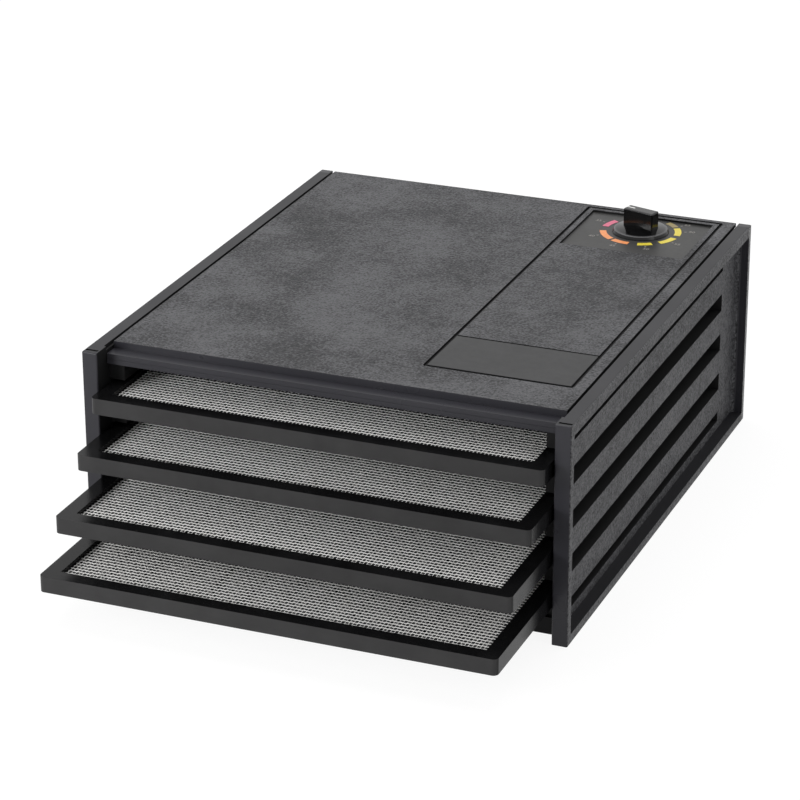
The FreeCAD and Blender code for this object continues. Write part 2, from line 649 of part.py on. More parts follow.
def back_panel():
    """A plate drawn from its lower corner, with vents, switch cut-out and holes."""
    body = doc.addObject("PartDesign::Body", "back_body")
    bind(body, "Placement.Base.x", "-panel_half")
    bind(body, "Placement.Base.y", "back_inner")
    bind(body, "Placement.Base.z", "panel_thick + fit_gap")
    outline = new_sketch(body, "XZ_Plane", "back_outline")
    corners = [VECTOR(0, 0, 0), VECTOR(9, 0, 0), VECTOR(9, 9, 0), VECTOR(0, 9, 0)]
    for i in range(4):
        outline.addGeometry(Part.LineSegment(corners[i], corners[(i + 1) % 4]), False)
    for i in range(4):
        outline.addConstraint(Sketcher.Constraint("Coincident", i, 2, (i + 1) % 4, 1))
        outline.addConstraint(Sketcher.Constraint("Vertical" if i % 2 else "Horizontal", i))
    outline.addConstraint(Sketcher.Constraint("Coincident", 0, 1, -1, 1))
    width = outline.addConstraint(Sketcher.Constraint("DistanceX", 0, 1, 0, 2, 9))
    bind(outline, f"Constraints[{width}]", "2 * panel_half")
    height = outline.addConstraint(Sketcher.Constraint("DistanceY", 1, 1, 1, 2, 9))
    bind(outline, f"Constraints[{height}]", "panel_top - panel_thick - 2 * fit_gap")
    pad = body.newObject("PartDesign::Pad", "back_pad")
    pad.Profile = outline
    bind(pad, "Length", "back_thick")
    pad.Reversed = True
    doc.recompute()

    def across(x):
        return f"panel_half + {x}"

    def up(z):
        return f"{z} - panel_thick - fit_gap"

    vents = new_sketch(body, "XZ_Plane", "back_vents")
    lowest = up(f"fan_height - vent_pitch * {(VENT_ROWS - 1) / 2}")
    for side in ("-vent_outer", "-vent_inner", "vent_inner", "vent_outer"):
        add_rectangle(vents, *middle(f"panel_half + ({side})", "vent_length"),
                      *middle(lowest, "vent_height"))
    vent_pocket = pocket(body, "back_vent_pocket", vents)
    doc.recompute()
    rows = body.newObject("PartDesign::LinearPattern", "back_vent_rows")
    rows.Originals = [vent_pocket]
    rows.Direction = (vents, ["V_Axis"])
    bind(rows, "Length", f"vent_pitch * {VENT_ROWS - 1}")
    rows.Occurrences = VENT_ROWS
    body.Tip = rows
    doc.recompute()

    holes = new_sketch(body, "XZ_Plane", "back_holes")
    add_rectangle(holes, *middle(across("service_x"), "switch_width + 2 * fit_gap"),
                  *middle(up("switch_height"), "switch_length + 2 * fit_gap"))
    add_circle(holes, across("service_x"), up("inlet_height"), "inlet_body + fit_gap / 2")
    for x, z in BACK_SCREWS + MOTOR_FEET:
        add_circle(holes, across(f"({x})"), up(z), "screw_radius + screw_clearance")
    pocket(body, "back_hole_pocket", holes)
    return body


piece(back_panel(), "back_panel")
screws("back_panel_screws", "y", "back_outer", -1, BACK_SCREWS, "screw_length + back_thick")

# ---------------------------------------------------------------- baffle

HEATER_POST_ANGLES = (45, 135, 225, 315)
GRILLE_RINGS = (0.35, 0.56, 0.78)
SPOKES = 4


def around(radius, degrees):
    """A place on a circle about the fan's axis, as formulas for X and Z."""
    return (f"{radius} * {round(math.cos(math.radians(degrees)), 6)}",
            f"fan_height + {radius} * {round(math.sin(math.radians(degrees)), 6)}")


def heater_post_places():
    return [around("heater_radius", degrees) for degrees in HEATER_POST_ANGLES]


def grille():
    """Rings and spokes across the fan opening."""
    depth = ("baffle_front", "baffle_back")
    centre = ("0", "fan_height")
    bars = [rod("grille_disc", "y", "grille_hub", depth, centre)]
    for i, share in enumerate(GRILLE_RINGS):
        outer = rod(f"grille_outer_{i}", "y", f"grille_radius * {share} + grille_bar", depth,
                    centre)
        inner = rod(f"grille_inner_{i}", "y", f"grille_radius * {share}",
                    ("baffle_front - 1", "baffle_back + 1"), centre)
        bars.append(cut(f"grille_ring_{i}", outer, inner))
    reach = "grille_radius + 1"
    for i in range(SPOKES):
        spoke = block(f"grille_spoke_{i}", (f"-({reach})", reach), depth,
                      middle("fan_height", "grille_bar"))
        turned = doc.addObject("Part::Compound", f"grille_turned_{i}")
        turned.Links = [spoke]
        angle = math.radians(180 * i / SPOKES)
        turned.Placement.Rotation = FreeCAD.Rotation(VECTOR(0, 1, 0), -math.degrees(angle))
        bind(turned, "Placement.Base.x", f"fan_height * {round(math.sin(angle), 9)}")
        bind(turned, "Placement.Base.z", f"fan_height * {round(1 - math.cos(angle), 9)}")
        bars.append(turned)
    return bars


def baffle():
    edge = "inner_wall - baffle_gap"
    low = "panel_thick + fit_gap"
    high = "panel_top - fit_gap"
    depth = ("baffle_front", "baffle_back")
    tool_depth = ("baffle_front - 1", "baffle_back + 1")
    plate = block("baffle_plate", (f"-({edge})", edge), depth, (low, high))
    flange_x = ("-flange_half", "flange_half")
    flange_y = ("baffle_front", "baffle_back + baffle_flange")
    flanges = [block("baffle_low_flange", flange_x, flange_y, (low, f"{low} + baffle_thick")),
               block("baffle_top_flange", flange_x, flange_y, (f"{high} - baffle_thick", high))]
    notches = []
    for k in range(RAIL_COUNT):
        rail_low = f"{rail_top(k)} - seat_skin - slot_height - rail_floor"
        floor = "0" if k == 0 else f"{rail_low} - baffle_gap"
        ceiling = "case_height" if k == RAIL_COUNT - 1 else f"{rail_top(k)} + baffle_gap"
        for side, span in (("east", ("rail_edge - baffle_gap", "half")),
                           ("west", ("-half", "baffle_gap - rail_edge"))):
            notches.append(block(f"baffle_notch_{side}_{k}", span, tool_depth,
                                 (floor, ceiling)))
    opening = rod("baffle_opening", "y", "grille_radius", tool_depth, ("0", "fan_height"))
    sheet = join("baffle_sheet", cut("baffle_open", plate, opening), *grille(), *flanges)
    holes = screw_holes("baffle_hole", "z", ("0", "case_height"), BAFFLE_SCREWS)
    holes += screw_holes("baffle_post_hole", "y", tool_depth, heater_post_places())
    return cut("baffle_shape", sheet, *notches, *holes)


piece(baffle(), "baffle")
screws("baffle_low_screws", "z", "panel_thick + fit_gap + baffle_thick", -1, BAFFLE_SCREWS,
       "baffle_thick + panel_thick / 2")
screws("baffle_top_screws", "z", "panel_top - fit_gap - baffle_thick", 1, BAFFLE_SCREWS,
       "baffle_thick + panel_thick / 2")

# ---------------------------------------------------------------- heater

ELEMENT_GAP = 12


def heater_element():
    """An open ring whose two ends turn outwards at the side of the cord."""
    radius = value("heater_radius")
    tube = value("heater_tube")
    lead = value("heater_lead")
    centre = VECTOR(0, value("heater_y"), value("fan_height"))
    section = Part.Face(Part.Wire(Part.makeCircle(tube, VECTOR(radius, 0, 0), VECTOR(0, 0, 1))))
    start = ELEMENT_GAP / 2
    section.rotate(VECTOR(0, 0, 0), VECTOR(0, 1, 0), -start)
    ring = section.revolve(VECTOR(0, 0, 0), VECTOR(0, 1, 0), -(360 - ELEMENT_GAP))
    solids = []
    for degrees in (start, -start):
        angle = math.radians(degrees)
        out = VECTOR(math.cos(angle), 0, math.sin(angle))
        solids.append(Part.makeSphere(tube, out * radius))
        solids.append(Part.makeCylinder(tube, lead, out * radius, out))
    shape = ring.fuse(solids).removeSplitter()
    shape.translate(centre)
    element = doc.addObject("Part::Feature", "heater_shape")
    element.Shape = shape
    return element


def heater_posts():
    """Ceramic posts on the baffle, each with a hole that the ring passes through."""
    torus = doc.addObject("Part::Torus", "heater_clearance")
    bind(torus, "Radius1", "heater_radius")
    bind(torus, "Radius2", "heater_tube + fit_gap")
    torus.Placement = FreeCAD.Placement(VECTOR(), TURNS["y"])
    bind(torus, "Placement.Base.y", "heater_y")
    bind(torus, "Placement.Base.z", "fan_height")
    posts = [
        rod(f"heater_post_{i}", "y", "post_radius",
            ("baffle_back", "heater_y + heater_tube + 2 * bracket_thick"), centre)
        for i, centre in enumerate(heater_post_places())
    ]
    holes = screw_holes("heater_post_hole", "y",
                        ("baffle_back - 1", "baffle_front + screw_length + 2 * fit_gap"),
                        heater_post_places())
    posts = [cut(f"heater_post_bored_{i}", post, hole)
             for i, (post, hole) in enumerate(zip(posts, holes))]
    return cut("heater_posts_shape", group("heater_post_group", *posts), torus)


piece(heater_element(), "heater_element")
piece(heater_posts(), "heater_posts")
screws("heater_post_screws", "y", "baffle_front", 1, heater_post_places())
piece(rod("cutoff", "y", "cutoff_radius", ("baffle_back", "baffle_back + cutoff_length"),
          ("cutoff_x", "cutoff_z")), "thermal_cutoff")

# ---------------------------------------------------------------- motor and fan

AXIS = ("0", "fan_height")
MOTOR_BOLTS = [(x, "fan_height") for x in both_sides("motor_bolt_offset")]
BLADES = 5


def motor_bracket():
    """A hat-shaped strap from the back panel to the motor."""
    height = middle("fan_height", "strap_height")
    wide = "motor_bracket_half + bracket_thick"
    plate = block("motor_plate", (f"-({wide})", wide),
                  ("bracket_back - bracket_thick", "bracket_back"), height)
    feet = []
    for side, sign in (("east", 1), ("west", -1)):
        leg = ("motor_bracket_half", wide)
        foot = ("motor_bracket_half", f"{wide} + motor_foot")
        if sign < 0:
            leg = (f"-({leg[1]})", f"-{leg[0]}")
            foot = (f"-({foot[1]})", f"-{foot[0]}")
        feet.append(block(f"motor_leg_{side}", leg,
                          ("bracket_back - bracket_thick", "back_inner"), height))
        feet.append(block(f"motor_foot_{side}", foot,
                          ("back_inner - bracket_thick", "back_inner"), height))
    body = join("motor_bracket_body", plate, *feet)
    holes = screw_holes("motor_foot_hole", "y", ("back_inner - 3", "back_inner + 1"), MOTOR_FEET)
    through = ("bracket_back - 3", "bracket_back + 1")
    holes += [rod(f"motor_plate_hole_{i}", "y", "motor_bolt_radius + screw_clearance", through,
                  centre) for i, centre in enumerate(MOTOR_BOLTS)]
    holes.append(rod("motor_plate_middle", "y", "bush_radius + fit_gap", through, AXIS))
    return cut("motor_bracket_shape", body, *holes)


def motor_core():
    """Laminations with a bore for the rotor and a window over the coil's limb."""
    depth = ("core_front", "core_back")
    through = ("core_front - 1", "core_back + 1")
    whole = block("core_block", ("-core_half", "core_half"), depth,
                  ("fan_height - core_below", "fan_height + core_above"))
    bore = rod("core_bore", "y", "rotor_radius + rotor_gap", through, AXIS)
    window = block("core_window", ("-coil_half - 2 * fit_gap", "coil_half + 2 * fit_gap"),
                   through, ("fan_height - core_below + limb",
                             "fan_height - core_below + limb + coil_build + 2 * fit_gap"))
    holes = [rod(f"core_bolt_hole_{i}", "y", "motor_bolt_radius + screw_clearance", through,
                 centre) for i, centre in enumerate(MOTOR_BOLTS)]
    return cut("core_shape", whole, bore, window, *holes)


def motor_coil():
    build = "coil_build"
    outer = rounded(
        "coil_outer",
        block("coil_block", ("-coil_half", "coil_half"),
              (f"core_front - {build}", f"core_back + {build}"),
              (f"fan_height - core_below - {build}",
               f"fan_height - core_below + limb + {build}")),
        "recess_round",
        lambda box: box.XLength > 1,
    )
    inner = block("coil_inner", ("-coil_half - 1", "coil_half + 1"),
                  ("core_front - fit_gap", "core_back + fit_gap"),
                  ("fan_height - core_below - fit_gap",
                   "fan_height - core_below + limb + fit_gap"))
    return cut("coil_shape", outer, inner)


def bearing_strap(name, depth):
    """A strap across the laminations that holds a bush."""
    strap = block(f"{name}_strap", ("-core_half", "core_half"), depth,
                  middle("fan_height", "strap_height"))
    through = (f"{depth[0]} - 1", f"{depth[1]} + 1")
    holes = [rod(f"{name}_bolt_hole_{i}", "y", "motor_bolt_radius + screw_clearance", through,
                 centre) for i, centre in enumerate(MOTOR_BOLTS)]
    return cut(f"{name}_strap_shape", strap, *holes,
               rod(f"{name}_seat", "y", "bush_radius", through, AXIS))


def bush(name, depth):
    outer = rod(f"{name}_outer", "y", "bush_radius", depth, AXIS)
    inner = rod(f"{name}_inner", "y", "shaft_radius + shaft_clearance",
                (f"{depth[0]} - 1", f"{depth[1]} + 1"), AXIS)
    return cut(f"{name}_shape", outer, inner)


FRONT_STRAP = ("core_front - bracket_thick", "core_front")
REAR_STRAP = ("core_back", "core_back + bracket_thick")
FRONT_BUSH = ("core_front - bush_length + 2 * rotor_gap", "core_front + 2 * rotor_gap")
REAR_BUSH = ("core_back - 2 * rotor_gap", "core_back + bush_length - 2 * rotor_gap")
ROTOR = ("core_front + 4 * rotor_gap", "core_back - 4 * rotor_gap")

piece(motor_bracket(), "motor_bracket")
screws("motor_bracket_screws", "y", "back_outer", -1, MOTOR_FEET,
       "back_thick + bracket_thick + 1")
piece(motor_core(), "motor_core")
piece(motor_coil(), "motor_coil")
piece(bearing_strap("front", FRONT_STRAP), "front_bearing_strap")
piece(bearing_strap("rear", REAR_STRAP), "rear_bearing_strap")
piece(bush("front_bush", FRONT_BUSH), "front_bearing")
piece(bush("rear_bush", REAR_BUSH), "rear_bearing")


def motor_bolts():
    solids = []
    for i, centre in enumerate(MOTOR_BOLTS):
        head = rod(f"motor_bolt_head_{i}", "y", "motor_bolt_head",
                   (f"{FRONT_STRAP[0]} - 2 * bracket_thick", FRONT_STRAP[0]), centre)
        shank = rod(f"motor_bolt_shank_{i}", "y", "motor_bolt_radius",
                    (FRONT_STRAP[0], "bracket_back"), centre)
        nut = rod(f"motor_bolt_nut_{i}", "y", "motor_bolt_head",
                  ("bracket_back", "bracket_back + 2 * bracket_thick"), centre)
        solids.append(join(f"motor_bolt_{i}", head, shank, nut))
    return group("motor_bolt_group", *solids)


piece(motor_bolts(), "motor_bolts")
piece(rod("shaft", "y", "shaft_radius", ("fan_front - shaft_nose", "back_inner - shaft_tail"), AXIS),
      "motor_shaft")
piece(cut("rotor_shape", rod("rotor_body", "y", "rotor_radius", ROTOR, AXIS),
          rod("rotor_bore", "y", "shaft_radius", ("core_front", "core_back"), AXIS)),
      "motor_rotor")
CLIP = ("fan_front - bracket_thick", "fan_front")
piece(cut("clip_shape", rod("clip_body", "y", "clip_radius", CLIP, AXIS),
          rod("clip_bore", "y", "shaft_radius", ("fan_front - 5", "fan_front + 5"), AXIS)),
      "fan_clip")


def fan_blade():
    """Five twisted blades on a hub, lofted from root to tip."""
    hub_radius = value("hub_radius")
    tip = value("fan_radius")
    length = value("hub_length")
    thick = value("blade_thick")
    hub = Part.makeCylinder(hub_radius, length, VECTOR(0, 0, 0), VECTOR(0, 1, 0))
    root_pitch = math.radians(value("root_pitch"))
    tip_pitch = math.radians(value("tip_pitch"))
    sections = []
    for radius, pitch, chord in ((hub_radius * 0.8, root_pitch, hub_radius * 1.2),
                                 (tip, tip_pitch, length * 2)):
        chord = min(chord, (length - thick * 1.5) / math.sin(pitch))
        along = VECTOR(math.cos(pitch), math.sin(pitch), 0) * (chord / 2)
        over = VECTOR(-math.sin(pitch), math.cos(pitch), 0) * (thick / 2)
        centre = VECTOR(0, length / 2, radius)
        points = [centre + along + over, centre - along + over,
                  centre - along - over, centre + along - over]
        sections.append(Part.makePolygon(points + points[:1]))
    blade = Part.makeLoft(sections, True, True)
    trim = Part.makeCylinder(tip, length + 2, VECTOR(0, -1, 0), VECTOR(0, 1, 0))
    blade = blade.common(trim)
    blades = []
    for i in range(BLADES):
        copy = blade.copy()
        copy.rotate(VECTOR(0, 0, 0), VECTOR(0, 1, 0), 360 / BLADES * i)
        blades.append(copy)
    bore = Part.makeCylinder(value("shaft_radius"), length + 2, VECTOR(0, -1, 0),
                             VECTOR(0, 1, 0))
    shape = hub.fuse(blades).cut(bore)
    shape.translate(VECTOR(0, value("fan_front"), value("fan_height")))
    fan = doc.addObject("Part::Feature", "fan_shape")
    fan.Shape = shape
    return fan


piece(fan_blade(), "fan_blade")

# ---------------------------------------------------------------- thermostat and knob

KNOB_AXIS = ("knob_x", "knob_y")


def thermostat():
    body = block("thermostat_block", middle("knob_x", "thermostat_width"),
                 middle("knob_y", "thermostat_depth"),
                 ("thermostat_top - thermostat_height", "thermostat_top"))
    bushing = rod("thermostat_bushing", "z", "bushing_radius",
                  ("thermostat_top", "dial_floor + nut_thick + inlay_thick"), KNOB_AXIS)
    bore = rod("thermostat_bore", "z", "stem_radius + stem_clearance",
               ("thermostat_top - 2", "case_height + nut_thick"), KNOB_AXIS)
    tabs = [
        block(f"thermostat_tab_{i}", middle(f"knob_x {sign} thermostat_width / 4", "tab_width"),
              middle("knob_y", "bracket_thick"),
              ("thermostat_top - thermostat_height - tab_length",
               "thermostat_top - thermostat_height"))
        for i, sign in enumerate("+-")
    ]
    return cut("thermostat_shape", join("thermostat_body_joined", body, bushing, *tabs), bore)


def knob_turned(name, *parts):
    """Places parts that are drawn about the knob's axis at the resting angle."""
    turned = doc.addObject("Part::Compound", name)
    turned.Links = list(parts)
    turned.Placement.Rotation = FreeCAD.Rotation(VECTOR(0, 0, 1), value("knob_angle"))
    for letter, formula in zip("xyz", ("knob_x", "knob_y", "knob_base")):
        bind(turned, f"Placement.Base.{letter}", formula)
    return turned


def frustum(name, low_radius, high_radius, height, base):
    """A cone's slice about the knob's axis."""
    solid = doc.addObject("Part::Cone", name)
    bind(solid, "Radius1", low_radius)
    bind(solid, "Radius2", high_radius)
    bind(solid, "Height", height)
    bind(solid, "Placement.Base.z", base)
    return solid


def knob_and_mark():
    """The knob, and the mark let into the top and the end of its grip bar."""
    dome = join("knob_dome_sharp",
                frustum("knob_skirt_cone", "knob_radius", "knob_shoulder", "knob_skirt", "0"),
                frustum("knob_crown_cone", "knob_shoulder", "knob_crown_radius", "knob_crown",
                        "knob_skirt"))
    bar = block("knob_bar", middle("0", "knob_grip_length"), middle("0", "knob_grip_width"),
                ("0", "knob_height"))
    doc.recompute()
    shoulder = value("knob_skirt")
    dome = rounded("knob_dome", dome, "knob_edge",
                   lambda box: near(box.ZMin, shoulder) and near(box.ZMax, shoulder))
    top = value("knob_height")
    grip = rounded("knob_grip", bar, "edge_round",
                   lambda box: box.ZLength > 1 or near(box.ZMin, top))
    width = middle("0", "pointer_width")
    reach = "knob_grip_length / 2 + 1"
    mark_room = join(
        "knob_mark_room",
        block("knob_mark_top", ("knob_grip_length / 2 - pointer_length", reach), width,
              ("knob_height - pointer_depth", "knob_height + 1")),
        block("knob_mark_end", ("knob_grip_length / 2 - pointer_depth", reach), width,
              ("knob_height - pointer_drop", "knob_height + 1")),
    )
    stem_hole = rod("knob_stem_hole", "z", "stem_radius", ("-1", "stem_height"), ("0", "0"))
    nut_room = rod("knob_nut_room", "z", "nut_radius + 2 * fit_gap", ("-1", "nut_thick + 1"),
                   ("0", "0"))
    body = cut("knob_cut", join("knob_body", dome, grip), stem_hole, nut_room, mark_room)
    mark = doc.addObject("Part::Common", "mark_shape")
    mark.Base = grip
    mark.Tool = mark_room
    return knob_turned("knob_turned", body), knob_turned("mark_turned", mark)


def hexagon_nut():
    """A hexagonal nut round the bushing, over the top panel."""
    nut = doc.addObject("Part::Prism", "nut_prism")
    nut.Polygon = 6
    bind(nut, "Circumradius", "nut_radius")
    bind(nut, "Height", "nut_thick")
    for letter, formula in zip("xyz", ("knob_x", "knob_y", "dial_floor")):
        bind(nut, f"Placement.Base.{letter}", formula)
    return cut("nut_shape", nut, rod("nut_bore", "z", "bushing_radius",
                                     ("dial_floor - 1", "dial_floor + nut_thick + 1"),
                                     KNOB_AXIS))


piece(thermostat(), "thermostat_body")
piece(cut("thermostat_bracket_shape",
          block("thermostat_plate", middle("knob_x", "thermostat_width + 2 * thermostat_ear"),
                middle("knob_y", "thermostat_depth"), ("thermostat_top", "panel_top")),
          rod("thermostat_plate_hole", "z", "bushing_radius",
              ("thermostat_top - 1", "panel_top + 1"), KNOB_AXIS)), "thermostat_bracket")
piece(hexagon_nut(), "thermostat_nut")
piece(rod("stem", "z", "stem_radius", ("thermostat_top - 1", "knob_base + stem_height"),
          KNOB_AXIS), "thermostat_stem")
knob, mark = knob_and_mark()
piece(knob, "knob")
piece(mark, "knob_pointer")

# ---------------------------------------------------------------- power switch and cord inlet


def switch_housing():
    across = middle("service_x", "switch_width")
    up = middle("switch_height", "switch_length")
    shell = block("switch_shell", across, ("back_outer - switch_depth", "back_outer"), up)
    border = block("switch_rim", middle("service_x", "switch_width + 2 * switch_border"),
                   ("back_outer", "back_outer + switch_flange"),
                   middle("switch_height", "switch_length + 2 * switch_border"))
    well = block("switch_well", middle("service_x", "switch_width - 2 * switch_skin"),
                 ("back_outer - switch_depth / 2", "back_outer + switch_flange + 1"),
                 middle("switch_height", "switch_length - 2 * switch_skin"))
    sockets = rod("switch_sockets", "x", "rocker_pin + screw_clearance",
                  middle("service_x", "switch_width"), ("back_outer", "switch_height"))
    return cut("switch_shape", join("switch_joined", shell, border), well, sockets)


def rocker():
    """A shallow V seen from the side, with a pivot through its middle, tilted at rest."""
    half_length = value("switch_length") / 2 - value("switch_skin") - 2 * value("fit_gap")
    flange = value("switch_flange")
    width = value("switch_width") - 2 * value("switch_skin") - 2 * value("fit_gap")
    depth = value("rocker_depth")
    skirt = value("rocker_skirt")
    centre = VECTOR(value("service_x"), value("back_outer"), value("switch_height"))
    rise = flange + math.tan(math.radians(value("rocker_tilt"))) * half_length
    points = [VECTOR(-width / 2, y, z) for y, z in (
        (rise, half_length - 0.6), (flange * 0.8, 0), (rise, 0.6 - half_length),
        (-skirt, 0.3 - half_length), (-depth, -half_length / 3), (-depth, half_length / 3),
        (-skirt, half_length - 0.3))]
    side = Part.Face(Part.makePolygon(points + points[:1]))
    shape = side.extrude(VECTOR(width, 0, 0))
    reach = value("switch_width") - value("switch_skin")
    pin = Part.makeCylinder(value("rocker_pin"), reach, VECTOR(-reach / 2, 0, 0),
                            VECTOR(1, 0, 0))
    shape = shape.fuse(pin)
    shape.rotate(VECTOR(0, 0, 0), VECTOR(1, 0, 0), value("rocker_tilt"))
    shape.translate(centre)
    feature = doc.addObject("Part::Feature", "rocker_shape")
    feature.Shape = shape
    return feature


def cord_bushing():
    centre = ("service_x", "inlet_height")
    span = ("back_inner - back_thick", "back_outer + back_thick")
    parts = [
        rod("inlet_tube", "y", "inlet_body", ("back_inner", "back_outer"), centre),
        rod("inlet_inner", "y", "(inlet_body + inlet_flange) / 2",
            (span[0], "back_inner"), centre),
        rod("inlet_outer", "y", "inlet_flange", ("back_outer", span[1]), centre),
    ]
    bore = rod("inlet_hole", "y", "inlet_bore", (f"{span[0]} - 1", f"{span[1]} + 1"), centre)
    return cut("inlet_shape", join("inlet_joined", *parts), bore)


BLOCK_X = middle("service_x - block_length", "block_length")
BLOCK_SCREWS = [(f"service_x - block_length + block_length * {share}",
                 "back_inner - block_depth / 2") for share in (-0.3, 0, 0.3)]


def terminal_block():
    whole = block("terminal_whole", BLOCK_X, ("back_inner - block_depth", "back_inner"),
                  middle("inlet_height", "block_height"))
    wells = [rod(f"terminal_well_{i}", "z", "screw_head + fit_gap",
                 ("inlet_height", "inlet_height + block_height"), centre)
             for i, centre in enumerate(BLOCK_SCREWS)]
    threads = screw_holes("terminal_thread", "z",
                          ("inlet_height - screw_length", "inlet_height + 1"), BLOCK_SCREWS)
    return cut("terminal_shape", whole, *wells, *threads)


piece(switch_housing(), "switch_housing")
piece(rocker(), "switch_rocker")
piece(cord_bushing(), "cord_bushing")
piece(terminal_block(), "terminal_block")
screws("terminal_screws", "z", "inlet_height", -1, BLOCK_SCREWS, "screw_length - 1")

# ---------------------------------------------------------------- internal leads


def lead(label, points):
    """A tube along straight runs joined by tangent arcs, as large as the runs allow."""
    edges = []
    here = points[0]
    for before, corner, after in zip(points, points[1:], points[2:]):
        inward = corner - before
        outward = after - corner
        reach = 0.45 * min(inward.Length, outward.Length)
        inward.normalize()
        outward.normalize()
        start = corner - inward * reach
        end = corner + outward * reach
        turn = inward.getAngle(outward)
        bisector = outward - inward
        bisector.normalize()
        size = reach / math.tan(turn / 2)
        middle_point = corner + bisector * (size / math.cos(turn / 2) - size)
        edges.append(Part.LineSegment(here, start).toShape())
        edges.append(Part.Arc(start, middle_point, end).toShape())
        here = end
    edges.append(Part.LineSegment(here, points[-1]).toShape())
    path = Part.Wire(edges)
    ring = Part.makeCircle(value("lead_radius"), points[0], points[1] - points[0])
    feature = doc.addObject("Part::Feature", label + "_shape")
    feature.Shape = path.makePipeShell([Part.Wire(ring)], True, False)
    return piece(feature, label)


def leads():
    """Single wires between the terminal block, switch, thermostat, heater and motor."""
    service = value("service_x")
    knob_x = value("knob_x")
    knob_y = value("knob_y")
    block_face = value("back_inner") - value("block_depth")
    block_x = service - value("block_length")
    block_z = value("inlet_height")
    switch_face = value("back_outer") - value("switch_depth")
    switch_z = value("switch_height")
    tab_x = value("thermostat_width") / 4
    tab_z = value("thermostat_top") - value("thermostat_height") - value("tab_length")
    cutoff_x = value("cutoff_x")
    cutoff_y = value("baffle_back") + value("cutoff_length")
    cutoff_z = value("cutoff_z")
    heater_y = value("heater_y")
    reach = value("heater_radius") + value("heater_lead")
    angle = math.radians(ELEMENT_GAP / 2)
    end_x = reach * math.cos(angle)
    end_rise = reach * math.sin(angle)
    middle_z = value("fan_height")
    coil_y = value("core_back") - value("core_depth") / 2
    coil_z = middle_z - value("core_below") - value("coil_build") / 2
    lead("switch_lead", [
        VECTOR(block_x + 7, block_face, block_z - 3),
        VECTOR(block_x + 7, block_face - 13, block_z - 3),
        VECTOR(service - 14, switch_face - 14, (block_z + switch_z) / 2 - 2),
        VECTOR(service, switch_face - 13, switch_z - 5),
        VECTOR(service, switch_face, switch_z - 5)])
    lead("thermostat_lead", [
        VECTOR(service, switch_face, switch_z + 5),
        VECTOR(service, switch_face - 13, switch_z + 5),
        VECTOR(service - 3, knob_y + 7, (switch_z + tab_z) / 2 - 5),
        VECTOR(knob_x + tab_x, knob_y, tab_z - 16),
        VECTOR(knob_x + tab_x, knob_y, tab_z)])
    lead("cutoff_lead", [
        VECTOR(knob_x - tab_x, knob_y, tab_z),
        VECTOR(knob_x - tab_x, knob_y, tab_z - 12),
        VECTOR(cutoff_x, cutoff_y + 14, cutoff_z + 3),
        VECTOR(cutoff_x, cutoff_y, cutoff_z + 3)])
    lead("element_lead", [
        VECTOR(cutoff_x, cutoff_y, cutoff_z - 4),
        VECTOR(cutoff_x, cutoff_y + 13, cutoff_z - 4),
        VECTOR(cutoff_x - 7, heater_y + 3, (cutoff_z + middle_z + end_rise) / 2 - 3),
        VECTOR(end_x + 11, heater_y, middle_z + end_rise * (end_x + 11) / end_x),
        VECTOR(end_x, heater_y, middle_z + end_rise)])
    lead("return_lead", [
        VECTOR(end_x, heater_y, middle_z - end_rise),
        VECTOR(end_x + 11, heater_y, middle_z - end_rise * (end_x + 11) / end_x),
        VECTOR(end_x + 17, heater_y + 3, (block_z + middle_z) / 2),
        VECTOR(block_x, block_face - 14, block_z + 3),
        VECTOR(block_x, block_face, block_z + 3)])
    lead("motor_lead", [
        VECTOR(block_x - 8, block_face, block_z),
        VECTOR(block_x - 8, block_face - 10, block_z),
        VECTOR((block_x + value("coil_half")) / 2 + 8, heater_y + 9, block_z + 2),
        VECTOR(value("coil_half") + 18, coil_y, coil_z),
        VECTOR(value("coil_half"), coil_y, coil_z)])


leads()

# ---------------------------------------------------------------- trays

PULLS = ("pull_one", "pull_two", "pull_three", "pull_four")
GRID_COLUMNS = 12
GRID_ROWS = 26


def ring(name, inset, low, high):
    """A block as large as a tray's outline without the inset, drawn from y = 0 and z = 0."""
    half_size = f"tray_half - {inset}"
    return block(name, (f"-({half_size})", half_size), (inset, f"tray_depth - {inset}"),
                 (low, high))


def tray_grid():
    """Bars that divide the space inside the rim into cells, under the screen."""
    height = ("screen_floor - grid_height", "screen_floor")
    bars = []
    for i in range(1, GRID_COLUMNS):
        x = f"tray_inside * {2 * i - GRID_COLUMNS} / {GRID_COLUMNS}"
        bars.append(block(f"tray_bar_along_{i}", middle(x, "grid_bar"),
                          ("rim_width - 1", "tray_depth - rim_width + 1"), height))
    for i in range(1, GRID_ROWS):
        y = f"rim_width + (tray_depth - 2 * rim_width) * {i} / {GRID_ROWS}"
        bars.append(block(f"tray_bar_across_{i}", ("-tray_inside - 1", "tray_inside + 1"),
                          middle(y, "grid_bar"), height))
    return bars


def tray_frame():
    """A square frame with a hollow rim and an open grid that carries the screen."""
    whole = rounded("tray_block", ring("tray_whole", "0", "0", "tray_height"), "tray_round",
                    lambda box: box.ZLength > 1)
    underside = cut(
        "tray_underside",
        ring("tray_hollow", "tray_wall", "-1", "tray_height - tray_wall"),
        ring("tray_core", "(rim_width - tray_inner_wall)", "screen_floor - grid_height",
             "tray_height"),
    )
    frame = cut("tray_hollowed", cut("tray_shell", whole, underside),
                ring("tray_opening", "rim_width", "-2", "tray_height + 1"))
    return join("tray_frame", frame, *tray_grid())


def in_place(label, thing, pull, seat):
    """A tray's piece on its rails, pulled out of the case."""
    placed = doc.addObject("Part::Compound", label + "_placed")
    placed.Links = [thing]
    bind(placed, "Placement.Base.y", f"front - {pull}")
    bind(placed, "Placement.Base.z", f"{seat} + tray_lift")
    return piece(placed, label)


